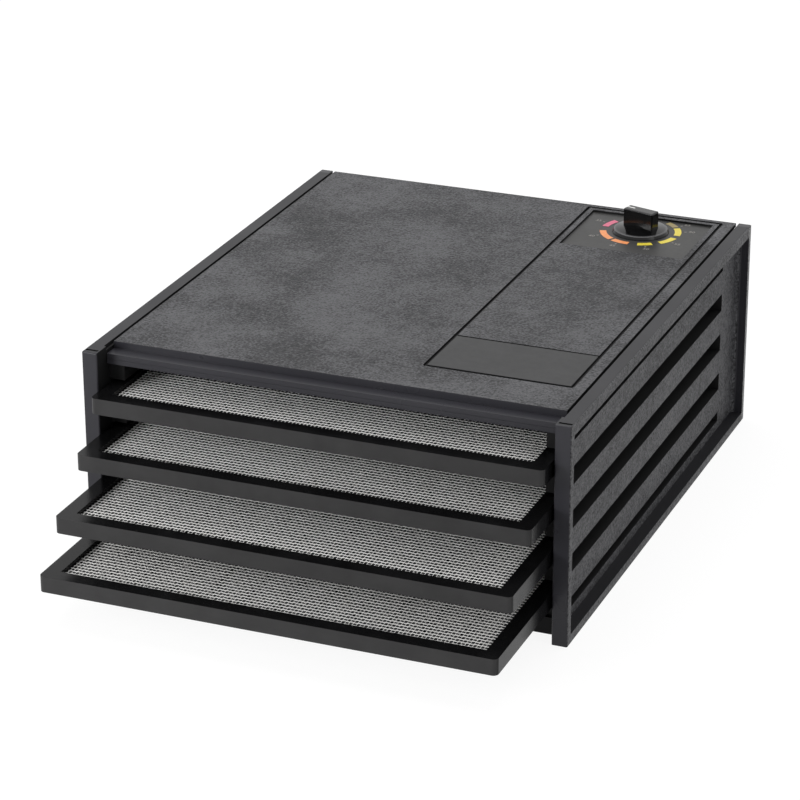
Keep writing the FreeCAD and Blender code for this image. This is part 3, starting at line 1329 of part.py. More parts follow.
FRAME = tray_frame()
SCREEN = ring("screen", "(rim_width + screen_gap)", "screen_floor",
              "screen_floor + screen_thick")
for number, pull in enumerate(PULLS, 1):
    seat = rail_top(RAIL_COUNT - 1 - number)
    in_place(f"tray_{number}_frame", FRAME, pull, seat)
    in_place(f"tray_{number}_screen", SCREEN, pull, seat)

# ---------------------------------------------------------------- checks and export

doc.recompute()
for thing in doc.Objects:
    if "Invalid" in thing.State or "Error" in thing.State:
        raise RuntimeError(f"{thing.Name} failed: {thing.State}")

os.makedirs("parts", exist_ok=True)
for thing in pieces:
    shape = thing.Shape
    if shape.isNull() or not shape.isValid() or not shape.Solids:
        raise RuntimeError(f"{thing.Label} has no valid solid")
    shape.exportStep(f"parts/{thing.Label}.step")
    box = shape.BoundBox
    print(f"{thing.Label:24s} {len(shape.Solids):2d} solids {shape.Volume / 1000:8.2f} cm3 "
          f"x {box.XMin:7.1f} {box.XMax:7.1f} y {box.YMin:7.1f} {box.YMax:7.1f} "
          f"z {box.ZMin:6.1f} {box.ZMax:6.1f}")
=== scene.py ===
import math
import random

import bmesh
import bpy
from mathutils import Matrix, Vector


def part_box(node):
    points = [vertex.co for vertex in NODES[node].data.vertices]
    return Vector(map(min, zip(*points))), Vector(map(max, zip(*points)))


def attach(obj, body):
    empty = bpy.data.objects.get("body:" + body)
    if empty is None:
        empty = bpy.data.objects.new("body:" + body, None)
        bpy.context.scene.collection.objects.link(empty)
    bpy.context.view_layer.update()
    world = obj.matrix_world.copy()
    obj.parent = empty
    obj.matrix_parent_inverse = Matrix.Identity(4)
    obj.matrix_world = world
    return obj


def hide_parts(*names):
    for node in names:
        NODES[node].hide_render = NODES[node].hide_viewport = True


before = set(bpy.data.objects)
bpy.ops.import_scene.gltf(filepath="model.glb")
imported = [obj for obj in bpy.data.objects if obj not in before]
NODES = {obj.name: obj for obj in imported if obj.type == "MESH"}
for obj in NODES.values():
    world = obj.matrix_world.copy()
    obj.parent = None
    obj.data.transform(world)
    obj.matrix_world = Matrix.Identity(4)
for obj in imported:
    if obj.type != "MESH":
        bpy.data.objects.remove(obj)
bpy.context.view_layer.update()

# A box-shaped food dehydrator with four trays. Metres, +Z up, in the CAD frame.

SCENE = bpy.context.scene
SCENE.view_settings.view_transform = "Standard"
MM = 0.001
TRAYS = range(1, 5)

# ---------------------------------------------------------------- camera

AZIMUTH = math.radians(22.144)
ELEVATION = math.radians(23.01)
ROLL = math.radians(-0.197)
AIM = Vector((0.0076, -0.0883, 0.1107))
DISTANCE = 2.3766
LENS = 141.38
CLIP_END = 50


def make_camera():
    """Looks at AIM from the front, turned by AZIMUTH towards +X and raised by ELEVATION."""
    ahead = Vector((-math.sin(AZIMUTH) * math.cos(ELEVATION),
                    math.cos(AZIMUTH) * math.cos(ELEVATION), -math.sin(ELEVATION)))
    level = ahead.cross(Vector((0, 0, 1))).normalized()
    above = level.cross(ahead)
    right = level * math.cos(ROLL) + above * math.sin(ROLL)
    up = above * math.cos(ROLL) - level * math.sin(ROLL)
    camera = bpy.data.objects.new("camera", bpy.data.cameras.new("camera"))
    SCENE.collection.objects.link(camera)
    camera.matrix_world = (Matrix.Translation(AIM - ahead * DISTANCE)
                           @ Matrix((right, up, -ahead)).transposed().to_4x4())
    camera.data.lens = LENS
    camera.data.clip_end = CLIP_END
    SCENE.camera = camera


make_camera()

# ---------------------------------------------------------------- shader helpers

# How far a zone fades out on each side of its edge.
SHARP = 0.2 * MM

# The detail and roughness of noise.
SOFT = (3, 0.5)
SPECKLED = (3, 0.6)
CLOUDY = (4, 0.6)
STREAKY = (4, 0.7)


def colour_sockets(sockets):
    return [socket for socket in sockets if socket.type == "RGBA"]


class Shader:
    """A material under construction, with short calls for the nodes that repeat."""

    def __init__(self, name, colour=(0.5, 0.5, 0.5), roughness=0.5, **constants):
        self.material = bpy.data.materials.new(name)
        self.material.use_nodes = True
        self.tree = self.material.node_tree
        self.surface = self.tree.nodes["Principled BSDF"]
        self.surface.inputs["Base Color"].default_value = (*colour, 1)
        self.surface.inputs["Roughness"].default_value = roughness
        for socket, number in constants.items():
            self.surface.inputs[socket.replace("_", " ")].default_value = number
        coordinates = self.node("ShaderNodeTexCoord")
        self.place = coordinates.outputs["Object"]
        self.normal = coordinates.outputs["Normal"]

    def node(self, kind, **settings):
        """A node with some of its inputs or properties set."""
        node = self.tree.nodes.new(kind)
        for key, setting in settings.items():
            if key in node.inputs:
                node.inputs[key].default_value = setting
            else:
                setattr(node, key, setting)
        return node

    def link(self, source, target):
        self.tree.links.new(source, target)

    # Patterns.

    def stretched(self, scale):
        """Object coordinates scaled by different amounts on each axis."""
        mapping = self.node("ShaderNodeMapping")
        mapping.inputs["Scale"].default_value = scale
        self.link(self.place, mapping.inputs["Vector"])
        return mapping.outputs["Vector"]

    def noise(self, size, detail=2, rough=0.5, vector=None):
        """Noise whose blobs are about size metres across."""
        noise = self.node("ShaderNodeTexNoise", Scale=1 / size, Detail=detail, Roughness=rough)
        self.link(vector or self.place, noise.inputs["Vector"])
        return noise.outputs["Fac"]

    def cells(self, size):
        """Rounded cells about size metres across."""
        cells = self.node("ShaderNodeTexVoronoi", feature="SMOOTH_F1", Scale=1 / size)
        self.link(self.place, cells.inputs["Vector"])
        return cells.outputs["Distance"]

    def ridges(self, axis, scale, wander):
        """Parallel ridges that follow one another along an axis."""
        wave = self.node("ShaderNodeTexWave", bands_direction=axis, Scale=scale,
                         Distortion=wander)
        self.link(self.place, wave.inputs["Vector"])
        return wave.outputs["Fac"]

    # Factors.

    def spread(self, source, low, high, start=0.3, end=0.7):
        """A factor remapped from start..end to low..high."""
        ranged = self.node("ShaderNodeMapRange")
        for key, number in (("From Min", start), ("From Max", end), ("To Min", low),
                            ("To Max", high)):
            ranged.inputs[key].default_value = number
        self.link(source, ranged.inputs["Value"])
        return ranged.outputs["Result"]

    def swing(self, source, amount):
        """A factor remapped to run from minus an amount to plus that amount."""
        return self.spread(source, -amount, amount)

    def combine(self, operation, first, *others):
        """Sources or plain numbers, joined one by one by a math operation."""
        for other in others:
            joined = self.node("ShaderNodeMath", operation=operation)
            for socket, source in zip(joined.inputs, (first, other)):
                if isinstance(source, (int, float)):
                    socket.default_value = source
                else:
                    self.link(source, socket)
            first = joined.outputs[0]
        return first

    def plus(self, *terms):
        return self.combine("ADD", *terms)

    def times(self, *factors):
        return self.combine("MULTIPLY", *factors)

    def largest(self, *factors):
        return self.combine("MAXIMUM", *factors)

    def sign(self, source):
        """Which side of 0 the source is on, as -1 or 1."""
        return self.combine("SIGN", source, 0)

    # Where something is. Such factors are multiplied for "and", and the largest is "or".

    def parts(self, vector):
        """The three parts of a vector."""
        apart = self.node("ShaderNodeSeparateXYZ")
        self.link(vector, apart.inputs["Vector"])
        return [apart.outputs[axis] for axis in "XYZ"]

    def past(self, source, edge, soft=SHARP):
        """1 where the source is past an edge."""
        return self.spread(source, 0, 1, edge - soft, edge + soft)

    def short(self, source, edge, soft=SHARP):
        """1 where the source is short of an edge."""
        return self.spread(source, 1, 0, edge - soft, edge + soft)

    # Colours and the surface.

    def between(self, factor, *colours):
        """A mix of two colours, each of which is a triple or a source."""
        mix = self.node("ShaderNodeMix", data_type="RGBA")
        self.link(factor, mix.inputs["Factor"])
        for socket, source in zip(colour_sockets(mix.inputs), colours):
            if isinstance(source, tuple):
                socket.default_value = (*source, 1)
            else:
                self.link(source, socket)
        return colour_sockets(mix.outputs)[0]

    def shade(self, source, dark, light):
        """From a dark to a light colour as a factor rises."""
        return self.between(self.spread(source, 0, 1), dark, light)

    def colour(self, source):
        self.link(source, self.surface.inputs["Base Color"])

    def roughness(self, source):
        self.link(source, self.surface.inputs["Roughness"])

    def bump(self, height, depth):
        """Raises the surface by height, which runs from 0 to 1, times depth in metres."""
        bump = self.node("ShaderNodeBump", Strength=1, Distance=depth)
        self.link(height, bump.inputs["Height"])
        self.link(bump.outputs["Normal"], self.surface.inputs["Normal"])


# ---------------------------------------------------------------- plastics and metals

DULL = {"Specular_IOR_Level": 0.25}
VERY_DULL = {"Specular_IOR_Level": 0.12}
SKIN = 0.9 * MM
SKIN_DEPTH = 0.03 * MM
FINE_SHARE = 9
CLOUD_GLOSS, FINE_GLOSS = 0.05, 0.02
LINE_LENGTH, LINE_DEPTH, LINE_GLOSS = 4 * MM, 0.02 * MM, 0.07
DRAWN_ALONG_Z, UNDRAWN = (40, 40, 1), (1, 1, 1)
STAIN_SIZE, STAIN_SHARE, STAIN_RANGE = 12 * MM, 0.72, (0.35, 0.75)

# The axis, scale and wander of ridges.
SHEET_EDGES = ("Y", 320, 0.4)
WIRE_TURNS = ("X", 560, 0.6)


def moulded(name, dark, light, roughness, blob=30 * MM, skin_depth=SKIN_DEPTH, **constants):
    """Moulded plastic: cloudy colour and gloss, and a fine skin."""
    shader = Shader(name, **constants)
    cloud = shader.noise(blob, *CLOUDY)
    fine = shader.noise(blob / FINE_SHARE, *SPECKLED)
    shader.colour(shader.shade(cloud, dark, light))
    shader.roughness(shader.plus(shader.swing(cloud, CLOUD_GLOSS),
                                 shader.swing(fine, FINE_GLOSS), roughness))
    shader.bump(shader.noise(SKIN), skin_depth)
    return shader


def brushed(name, colour, roughness, stretch=DRAWN_ALONG_Z):
    """Metal with fine lines and a few stains."""
    shader = Shader(name, colour, roughness, Metallic=1)
    lines = shader.noise(LINE_LENGTH, *STREAKY, shader.stretched(stretch))
    stain = shader.noise(STAIN_SIZE, *CLOUDY)
    stained = tuple(part * STAIN_SHARE for part in colour)
    shader.colour(shader.between(shader.spread(stain, 0, 1, *STAIN_RANGE), colour, stained))
    shader.roughness(shader.plus(shader.swing(lines, LINE_GLOSS), roughness))
    shader.bump(lines, LINE_DEPTH)
    return shader


def laminated():
    """Stacked sheets, shown as fine ridges across their edges."""
    shader = Shader("laminations", (0.2, 0.2, 0.21), 0.42, Metallic=1)
    stain = shader.noise(10 * MM, *CLOUDY)
    shader.colour(shader.shade(stain, (0.13, 0.125, 0.12), (0.28, 0.28, 0.3)))
    shader.roughness(shader.spread(stain, 0.35, 0.55))
    shader.bump(shader.ridges(*SHEET_EDGES), 0.2 * MM)
    return shader


def wound():
    """Enamelled wire in close turns round the limb, seen through varnish."""
    shader = Shader("copper_winding", (0.5, 0.2, 0.07), 0.35, Metallic=0.8)
    stain = shader.noise(6 * MM, *SPECKLED)
    shader.colour(shader.shade(stain, (0.42, 0.15, 0.05), (0.62, 0.27, 0.1)))
    shader.roughness(shader.spread(stain, 0.28, 0.42))
    shader.bump(shader.ridges(*WIRE_TURNS), 0.3 * MM)
    return shader


SMOOTH = moulded("smooth_charcoal", (0.008, 0.008, 0.009), (0.013, 0.013, 0.0145), 0.36)
# The bottom panel is painted near black as shade, where it lies under the trays and behind the
# posts.
BASE_SHADE = moulded("base_shade_black", (0.003, 0.003, 0.0033), (0.005, 0.005, 0.0055), 0.5, **VERY_DULL)
BADGE = moulded("badge_satin", (0.014, 0.014, 0.015), (0.019, 0.019, 0.02), 0.42, 50 * MM,
                **DULL)
DIAL = moulded("dial_satin", (0.027, 0.0265, 0.026), (0.034, 0.0335, 0.033), 0.4, 40 * MM,
               **DULL)
MESH = moulded("mesh_white", (0.9, 0.89, 0.865), (0.97, 0.965, 0.95), 0.36, 6 * MM)
WHITE_MARK = moulded("mark_white", (0.78, 0.78, 0.76), (0.88, 0.88, 0.87), 0.4, 2 * MM)
PINK_MARK = moulded("mark_pink", (0.62, 0.1, 0.19), (0.78, 0.15, 0.26), 0.4, 3 * MM)
ORANGE_MARK = moulded("mark_orange", (0.78, 0.24, 0.06), (0.92, 0.34, 0.11), 0.4, 3 * MM)
YELLOW_MARK = moulded("mark_yellow", (0.68, 0.54, 0.03), (0.82, 0.68, 0.06), 0.4, 3 * MM)
OLIVE_MARK = moulded("mark_olive", (0.24, 0.18, 0.06), (0.33, 0.26, 0.09), 0.4, 3 * MM)
GREY_MARK = moulded("mark_grey", (0.19, 0.18, 0.165), (0.25, 0.24, 0.225), 0.45, 3 * MM, **DULL)
FAN = moulded("fan_plastic", (0.02, 0.02, 0.022), (0.04, 0.04, 0.042), 0.45, 20 * MM)
BUSHING = moulded("bushing_black", (0.008, 0.008, 0.008), (0.014, 0.014, 0.014), 0.5, 6 * MM)
SWITCH = moulded("switch_black", (0.007, 0.007, 0.007), (0.011, 0.011, 0.011), 0.28, 6 * MM)
BLOCK = moulded("terminal_pale", (0.62, 0.60, 0.54), (0.72, 0.70, 0.64), 0.5, 10 * MM)
CERAMIC = moulded("ceramic", (0.66, 0.62, 0.52), (0.78, 0.75, 0.67), 0.75, 4 * MM, 0.13 * MM)
LEAD = moulded("lead_sleeve", (0.32, 0.03, 0.025), (0.45, 0.05, 0.04), 0.6, 4 * MM, 0.11 * MM)
ZINC = brushed("zinc_steel", (0.62, 0.62, 0.64), 0.32)
BLACK_STEEL = brushed("blackened_steel", (0.035, 0.035, 0.036), 0.35)
ALUMINIUM = brushed("drawn_aluminium", (0.72, 0.72, 0.73), 0.3)
BRONZE = brushed("sintered_bronze", (0.55, 0.36, 0.15), 0.48)
SHEATH = brushed("oxidised_sheath", (0.16, 0.14, 0.125), 0.5, UNDRAWN)
LAMINATIONS = laminated()
COPPER = wound()

# ---------------------------------------------------------------- case mouldings

# Their grained faces are mottled and pebbled like leather; their colour is partly the plastic's
# own mottled tone and partly painted sheen. Some narrow faces are smooth, and what is neither
# is a hollow, coloured near black as painted shade. Each pair of colours is a dark and a light.

HOLLOW_SHADE_COLOURS = ((0.0015, 0.0015, 0.0017), (0.003, 0.003, 0.0034))
SMOOTH_COLOURS = ((0.026, 0.0255, 0.031), (0.0335, 0.033, 0.039))
GRAIN_AND_SHEEN_COLOURS = ((0.018, 0.018, 0.02), (0.101, 0.101, 0.108))
CLOUD_SIZE = 85 * MM
CLOUD_RANGE = (0.36, 0.64)
LEATHER_SIZE, LEATHER_SWING = 1.9 * MM, 0.85
BLOTCH_SIZE, BLOTCH_SWING = 8 * MM, 0.28
PEBBLE_SIZE = 2.4 * MM
HOLLOW_ROUGHNESS = (0.66, 0.6)
SMOOTH_POLISH, GRAIN_POLISH = 0.34, 0.1

# Where the zones end, in the CAD frame, each with a little to spare.

PANEL_LOW, PANEL_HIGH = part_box("right_side_panel")
WALL_FACE = PANEL_HIGH.x - 9.8 * MM
FLANGE_TOP = PANEL_HIGH.z - 2 * MM
FLANGE_FRONT = PANEL_LOW.y + 2 * MM
FLANGE_REAR = PANEL_HIGH.y - 6.5 * MM
SILL = PANEL_LOW.z + 9 * MM
TOP_FACE = PANEL_HIGH.z - 0.4 * MM
LIP_BACK = PANEL_LOW.y + 27.5 * MM

# How far a face's normal has to lean along an axis, and how soft that limit is.

FACING, OUTWARD, FACING_SOFT = 0.3, 0.35, 0.1
FLAT, FLAT_SOFT = 0.9, 0.05

# How much of the smooth look some faces have; the rest is the hollows' painted shade. The front
# has all of it.

TOP_SHARE, REAR_SHARE, SILL_SHARE = 0.5, 0.95, 0.4


def side_zones(shader):
    """The grained and the smooth faces of a side frame. Its channels and seam are neither."""
    x, y, z = shader.parts(shader.place)
    across, along, high = shader.parts(shader.normal)
    side = shader.sign(x)
    outside = shader.past(shader.times(x, side), WALL_FACE)
    outward = shader.past(shader.times(across, side), OUTWARD, FACING_SOFT)
    upward = shader.past(high, FACING, FACING_SOFT)
    top = shader.times(shader.past(z, FLANGE_TOP), upward)
    front = shader.times(shader.short(y, FLANGE_FRONT),
                         shader.short(along, -FACING, FACING_SOFT))
    rear = shader.times(shader.past(y, FLANGE_REAR), outside)
    sill = shader.times(shader.short(z, SILL), upward, outside)
    smooth = shader.largest(shader.times(top, TOP_SHARE), front,
                            shader.times(rear, REAR_SHARE), shader.times(sill, SILL_SHARE))
    return shader.times(outside, outward), smooth


def top_zones(shader):
    """The grained and the smooth faces of the top panel. Its grooves are neither."""
    _, y, z = shader.parts(shader.place)
    high = shader.parts(shader.normal)[2]
    grained = shader.times(shader.past(z, TOP_FACE), shader.past(high, FLAT, FLAT_SOFT))
    return grained, shader.short(y, LIP_BACK)


def case_plastic(name, zones, clouds, pebble_depth):
    """Charcoal plastic of a case moulding: grained and lifted by painted sheen, smooth, and
    painted near black with shade in its hollows.
    """
    shader = Shader(name, **DULL)
    grained, smooth = zones(shader)
    cloud = shader.noise(CLOUD_SIZE, *SOFT)
    leather = shader.swing(shader.noise(LEATHER_SIZE, *SPECKLED), LEATHER_SWING)
    blotch = shader.swing(shader.noise(BLOTCH_SIZE, *SOFT), BLOTCH_SWING)
    patch = shader.spread(cloud, 0.5 - clouds, 0.5 + clouds, *CLOUD_RANGE)
    mottle = shader.plus(patch, shader.plus(leather, blotch))
    # Hollows get painted shade, and the grained mottle carries painted sheen.
    ungrained = shader.between(smooth, shader.shade(cloud, *HOLLOW_SHADE_COLOURS),
                               shader.shade(cloud, *SMOOTH_COLOURS))
    shader.colour(shader.between(grained, ungrained, shader.between(mottle, *GRAIN_AND_SHEEN_COLOURS)))
    shader.roughness(shader.plus(shader.times(smooth, -SMOOTH_POLISH),
                                 shader.spread(cloud, *HOLLOW_ROUGHNESS),
                                 shader.times(grained, -GRAIN_POLISH)))
    pebbles = shader.plus(shader.cells(PEBBLE_SIZE), shader.noise(SKIN))
    shader.bump(shader.times(pebbles, grained), pebble_depth)
    return shader


SIDE_FINISH = case_plastic("side_moulding", side_zones, clouds=0.1, pebble_depth=1.3 * MM)
TOP_FINISH = case_plastic("top_moulding", top_zones, clouds=0.32, pebble_depth=1.1 * MM)

# ---------------------------------------------------------------- trays and knob

# The first pair, on the front faces, is the lit copy of the black; the second, on every other
# face, is painted near black as shade.
TRAY_SATIN_AND_LIGHT = ((0.035, 0.0345, 0.035), (0.045, 0.0445, 0.045))
TRAY_GLOSS_AND_SHADE = ((0.003, 0.003, 0.0033), (0.006, 0.006, 0.0064))
TRAY_ROUGHNESS = (0.17, 0.25)
SATIN_ROUGHNESS = 0.24
FRONT_FACING, FRONT_SOFT = -0.5, 0.2
KNOB_COLOURS = ((0.0015, 0.0015, 0.0017), (0.003, 0.003, 0.0034))
# A pale colour painted on as a highlight: round a band of the skirt, and at a quarter strength
# on the top's upward faces.
KNOB_HIGHLIGHT = (0.1, 0.1, 0.104)
SKIRT_LOW, SKIRT_HIGH = 1.9 * MM, 2.45 * MM
CROWN_DEPTH = 1.5 * MM
CROWN_FACING, CROWN_SOFT = 0.3, 0.2
CROWN_SHARE = 0.25
KNOB_ROUGHNESS = (0.08, 0.16)
TRAY_SKIN_DEPTH, KNOB_SKIN_DEPTH = 0.04 * MM, 0.02 * MM
KNOB_LOW, KNOB_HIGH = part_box("knob")


def tray_plastic():
    """Black plastic, polished but for the satin front and a fine skin. The front faces keep a
    lighter black, and all other faces are painted near black as shade.
    """
    shader = Shader("tray_black", **VERY_DULL)
    front = shader.short(shader.parts(shader.normal)[1], FRONT_FACING, FRONT_SOFT)
    cloud = shader.noise(30 * MM, *CLOUDY)
    shader.colour(shader.between(front, shader.shade(cloud, *TRAY_GLOSS_AND_SHADE),
                                 shader.shade(cloud, *TRAY_SATIN_AND_LIGHT)))
    shader.roughness(shader.plus(shader.times(front, SATIN_ROUGHNESS),
                                 shader.spread(cloud, *TRAY_ROUGHNESS)))
    shader.bump(shader.noise(SKIN), TRAY_SKIN_DEPTH)
    return shader


def knob_plastic():
    """Glossy black, with a painted highlight on a band round the skirt, and a fainter one on
    the top's upward faces.
    """
    shader = Shader("knob_black", Specular_IOR_Level=0.3)
    z = shader.parts(shader.place)[2]
    facing = shader.parts(shader.normal)[2]
    skirt = shader.times(shader.past(z, KNOB_LOW.z + SKIRT_LOW),
                         shader.short(z, KNOB_LOW.z + SKIRT_HIGH))
    crown = shader.times(shader.past(z, KNOB_HIGH.z - CROWN_DEPTH),
                         shader.past(facing, CROWN_FACING, CROWN_SOFT))
    highlit = shader.largest(skirt, shader.times(crown, CROWN_SHARE))
    smear = shader.noise(6 * MM, *CLOUDY)
    shader.colour(shader.between(highlit, shader.shade(smear, *KNOB_COLOURS), KNOB_HIGHLIGHT))
    shader.roughness(shader.spread(smear, *KNOB_ROUGHNESS))
    shader.bump(shader.noise(SKIN), KNOB_SKIN_DEPTH)
    return shader


TRAY = tray_plastic()
KNOB = knob_plastic()

# ---------------------------------------------------------------- finishes of the CAD nodes

FINISHES = [
    (SIDE_FINISH, "left_side_panel", "right_side_panel"),
    (TOP_FINISH, "top_panel"),
    (SMOOTH, "back_panel", "baffle"),
    (BASE_SHADE, "bottom_panel"),
    (BADGE, "blank_badge"),
    (DIAL, "dial_plate"),
    (TRAY, *(f"tray_{number}_frame" for number in TRAYS)),
    (KNOB, "knob"),
    (WHITE_MARK, "knob_pointer"),
    (BLACK_STEEL, "top_panel_screws", "bottom_panel_screws", "back_panel_screws"),
    (ZINC, "baffle_low_screws", "baffle_top_screws", "heater_post_screws", "motor_bracket",
     "motor_bracket_screws", "front_bearing_strap", "rear_bearing_strap", "motor_bolts",
     "motor_shaft", "motor_rotor", "fan_clip", "thermostat_bracket", "thermostat_nut",
     "thermostat_stem", "terminal_screws"),
    (SHEATH, "heater_element"),
    (CERAMIC, "heater_posts"),
    (ALUMINIUM, "thermal_cutoff"),
    (LAMINATIONS, "motor_core"),
    (COPPER, "motor_coil"),
    (BRONZE, "front_bearing", "rear_bearing"),
    (FAN, "fan_blade"),
    (SWITCH, "switch_housing", "switch_rocker", "thermostat_body"),
    (BUSHING, "cord_bushing"),
    (BLOCK, "terminal_block"),
    (LEAD, "switch_lead", "thermostat_lead", "cutoff_lead", "element_lead", "return_lead",
     "motor_lead"),
]


def dress(thing, shader):
    thing.data.materials.clear()
    thing.data.materials.append(shader.material)


for finish, *names in FINISHES:
    for name in names:
        dress(NODES[name], finish)

# ---------------------------------------------------------------- pieces


def new_piece(name, mesh, body, finish, stands_for=(), place=(0, 0, 0)):
    """A visual piece on a body, which may stand in for nodes of the CAD."""
    thing = bpy.data.objects.new(name, mesh)
    SCENE.collection.objects.link(thing)
    thing.location = place
    dress(thing, finish)
    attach(thing, body)
    if stands_for:
        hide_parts(*stands_for)


def mesh_of(name, points, faces, smooth=True):
    mesh = bpy.data.meshes.new(name)
    mesh.from_pydata(points, [], faces)
    mesh.polygons.foreach_set("use_smooth", [smooth] * len(mesh.polygons))
    mesh.update()
    return mesh


# The screens are woven nets laid on the trays' grids: thick rows that pass over and under
# thinner columns. Each strand is a flattened tube, nudged a little off its even place.

ROW_PITCH, ROW_HALF, ROW_RISE = 4.2 * MM, 0.52 * MM, 0.3 * MM
COLUMN_PITCH, COLUMN_HALF, COLUMN_RISE = 2.9 * MM, 0.3 * MM, 0.22 * MM
WEAVE = 0.16 * MM
NUDGE = 0.1 * MM
SIDES = 6
COLUMN_STEPS = 40
NET_SEED = 7

# The nets don't lie quite flat. Each wave has its radians per metre along X and Y, and a start.

SWELL = 0.3 * MM
SWELL_WAVES = ((41, 0, 1.3), (9, 57, 0.4))


def swell(x, y):
    """How far the net stands off its tray."""
    waves = sum(math.sin(along * x + back * y + start) for along, back, start in SWELL_WAVES)
    return SWELL * (0.5 + 0.25 * waves)


def strand(points, faces, line, across, half, rise):
    """Adds a closed strand that follows a line of points, with its width lying across."""
    base = len(points)
    for middle in line:
        for side in range(SIDES):
            angle = math.tau * side / SIDES
            points.append(middle + across * half * math.cos(angle)
                          + Vector((0, 0, rise * math.sin(angle))))
    for k in range(len(line) - 1):
        for side in range(SIDES):
            a = base + SIDES * k + side
            b = base + SIDES * k + (side + 1) % SIDES
            faces.append((a, b, b + SIDES, a + SIDES))
    last = len(points) - SIDES
    faces.append(tuple(range(base + SIDES - 1, base - 1, -1)))
    faces.append(tuple(range(last, last + SIDES)))


def net(size):
    """A square net about the middle of its underside."""
    draw = random.Random(NET_SEED)
    rows = round(size / ROW_PITCH)
    columns = round(size / COLUMN_PITCH)
    lying = ROW_RISE + WEAVE
    points = []
    faces = []

    def nudged(index, count):
        return (index + 0.5) * size / count - size / 2 + draw.uniform(-1, 1) * NUDGE

    for i in range(rows):
        y = nudged(i, rows)
        line = []
        for j in range(columns + 1):
            x = size * (j / columns - 0.5)
            wave = WEAVE if (i + j) % 2 else -WEAVE
            line.append(Vector((x, y, lying + wave + swell(x, y))))
        strand(points, faces, line, Vector((0, -1, 0)), ROW_HALF, ROW_RISE)
    for j in range(columns):
        x = nudged(j, columns)
        line = []
        for k in range(COLUMN_STEPS + 1):
            y = size * (k / COLUMN_STEPS - 0.5)
            line.append(Vector((x, y, lying + swell(x, y))))
        strand(points, faces, line, Vector((1, 0, 0)), COLUMN_HALF, COLUMN_RISE)
    return mesh_of("tray_net", points, faces)


SCREEN_LOW, SCREEN_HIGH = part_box("tray_1_screen")
NET = net(SCREEN_HIGH.x - SCREEN_LOW.x)
for number in TRAYS:
    low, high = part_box(f"tray_{number}_screen")
    new_piece(f"tray_{number}_net", NET, f"tray_{number}", MESH,
              stands_for=[f"tray_{number}_screen"],
              place=((low.x + high.x) / 2, (low.y + high.y) / 2, low.z))

# The dial has a broken ring of coloured marks round the knob, then ticks and plain numbers.
# Angles are in degrees from +X. Each coloured mark has its start and its end.

PRINT_RISE = 0.12 * MM
RING_RADII = (27.7 * MM, 33 * MM)
RING_MARKS = [("pink", PINK_MARK, (148, 178)), ("orange", ORANGE_MARK, (197, 236), (241, 269)),
              ("yellow", YELLOW_MARK, (283, 305), (318, 349), (1, 34)),
              ("olive", OLIVE_MARK, (39, 61))]
ARC_STEP = 3
TICK_RADII = (35.4 * MM, 37.2 * MM)
TICK_HALF = 1
NUMBERS = [(163, "35"), (216, "40"), (255, "45"), (294, "50"), (333, "55"), (18, "60"),
           (41, "65")]
NUMBER_RADIUS = 41.5 * MM
NUMBER_SIZE = 5.2 * MM
STROKE = 0.08 * MM
LETTER_STEPS = 3
WELD = 0.001 * MM
DIAL_MIDDLE = Vector(((KNOB_LOW.x + KNOB_HIGH.x) / 2, (KNOB_LOW.y + KNOB_HIGH.y) / 2,
                      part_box("dial_plate")[1].z))


def round_dial(angle, radius, rise=0):
    """A point over the dial plate."""
    turn = math.radians(angle)
    return DIAL_MIDDLE + Vector((radius * math.cos(turn), radius * math.sin(turn), rise))


def ring_marks(name, radii, spans):
    """Thin raised pieces of a flat ring, each between two angles.

    A station has four points: the low and high ones inside, then those outside.
    """
    points = []
    faces = []
    for start, end in spans:
        steps = max(1, round((end - start) / ARC_STEP))
        base = len(points)
        for k in range(steps + 1):
            angle = start + (end - start) * k / steps
            points.extend(round_dial(angle, radius, rise)
                          for radius in radii for rise in (0, PRINT_RISE))
        for k in range(steps):
            a = base + 4 * k
            faces.extend([(a + 1, a + 3, a + 7, a + 5), (a, a + 4, a + 6, a + 2),
                          (a + 2, a + 6, a + 7, a + 3), (a, a + 1, a + 5, a + 4)])
        last = base + 4 * steps
        faces.extend([(base, base + 2, base + 3, base + 1),
                      (last, last + 1, last + 3, last + 2)])
    return mesh_of(name, points, faces, smooth=False)


def lettering(name, size, words):
    """Raised characters in one mesh. Each word comes with its matrix."""
    joined = bmesh.new()
    for text, matrix in words:
        curve = bpy.data.curves.new(name, "FONT")
        curve.body = text
        curve.size = size
        curve.align_x = "CENTER"
        curve.align_y = "CENTER"
        curve.extrude = PRINT_RISE / 2
        curve.offset = STROKE
        curve.resolution_u = LETTER_STEPS
        holder = bpy.data.objects.new(name, curve)
        word = bpy.data.meshes.new_from_object(holder)
        word.transform(matrix @ Matrix.Translation((0, 0, PRINT_RISE / 2)))
        joined.from_mesh(word)
        bpy.data.objects.remove(holder)
        bpy.data.meshes.remove(word)
        bpy.data.curves.remove(curve)
    bmesh.ops.remove_doubles(joined, verts=joined.verts, dist=WELD)
    mesh = bpy.data.meshes.new(name)
    joined.to_mesh(mesh)
    joined.free()
    return mesh


for colour, finish, *spans in RING_MARKS:
    name = f"dial_ring_{colour}"
    new_piece(name, ring_marks(name, RING_RADII, spans), "case", finish)
TICKS = [(angle - TICK_HALF, angle + TICK_HALF) for angle, _ in NUMBERS]
new_piece("dial_ticks", ring_marks("dial_ticks", TICK_RADII, TICKS), "case", GREY_MARK)
WORDS = [(text, Matrix.Translation(round_dial(angle, NUMBER_RADIUS)))
         for angle, text in NUMBERS]
new_piece("dial_numbers", lettering("dial_numbers", NUMBER_SIZE, WORDS), "case", GREY_MARK)

# The power switch's housing has a mark above the rocker for on, and one below it for off.

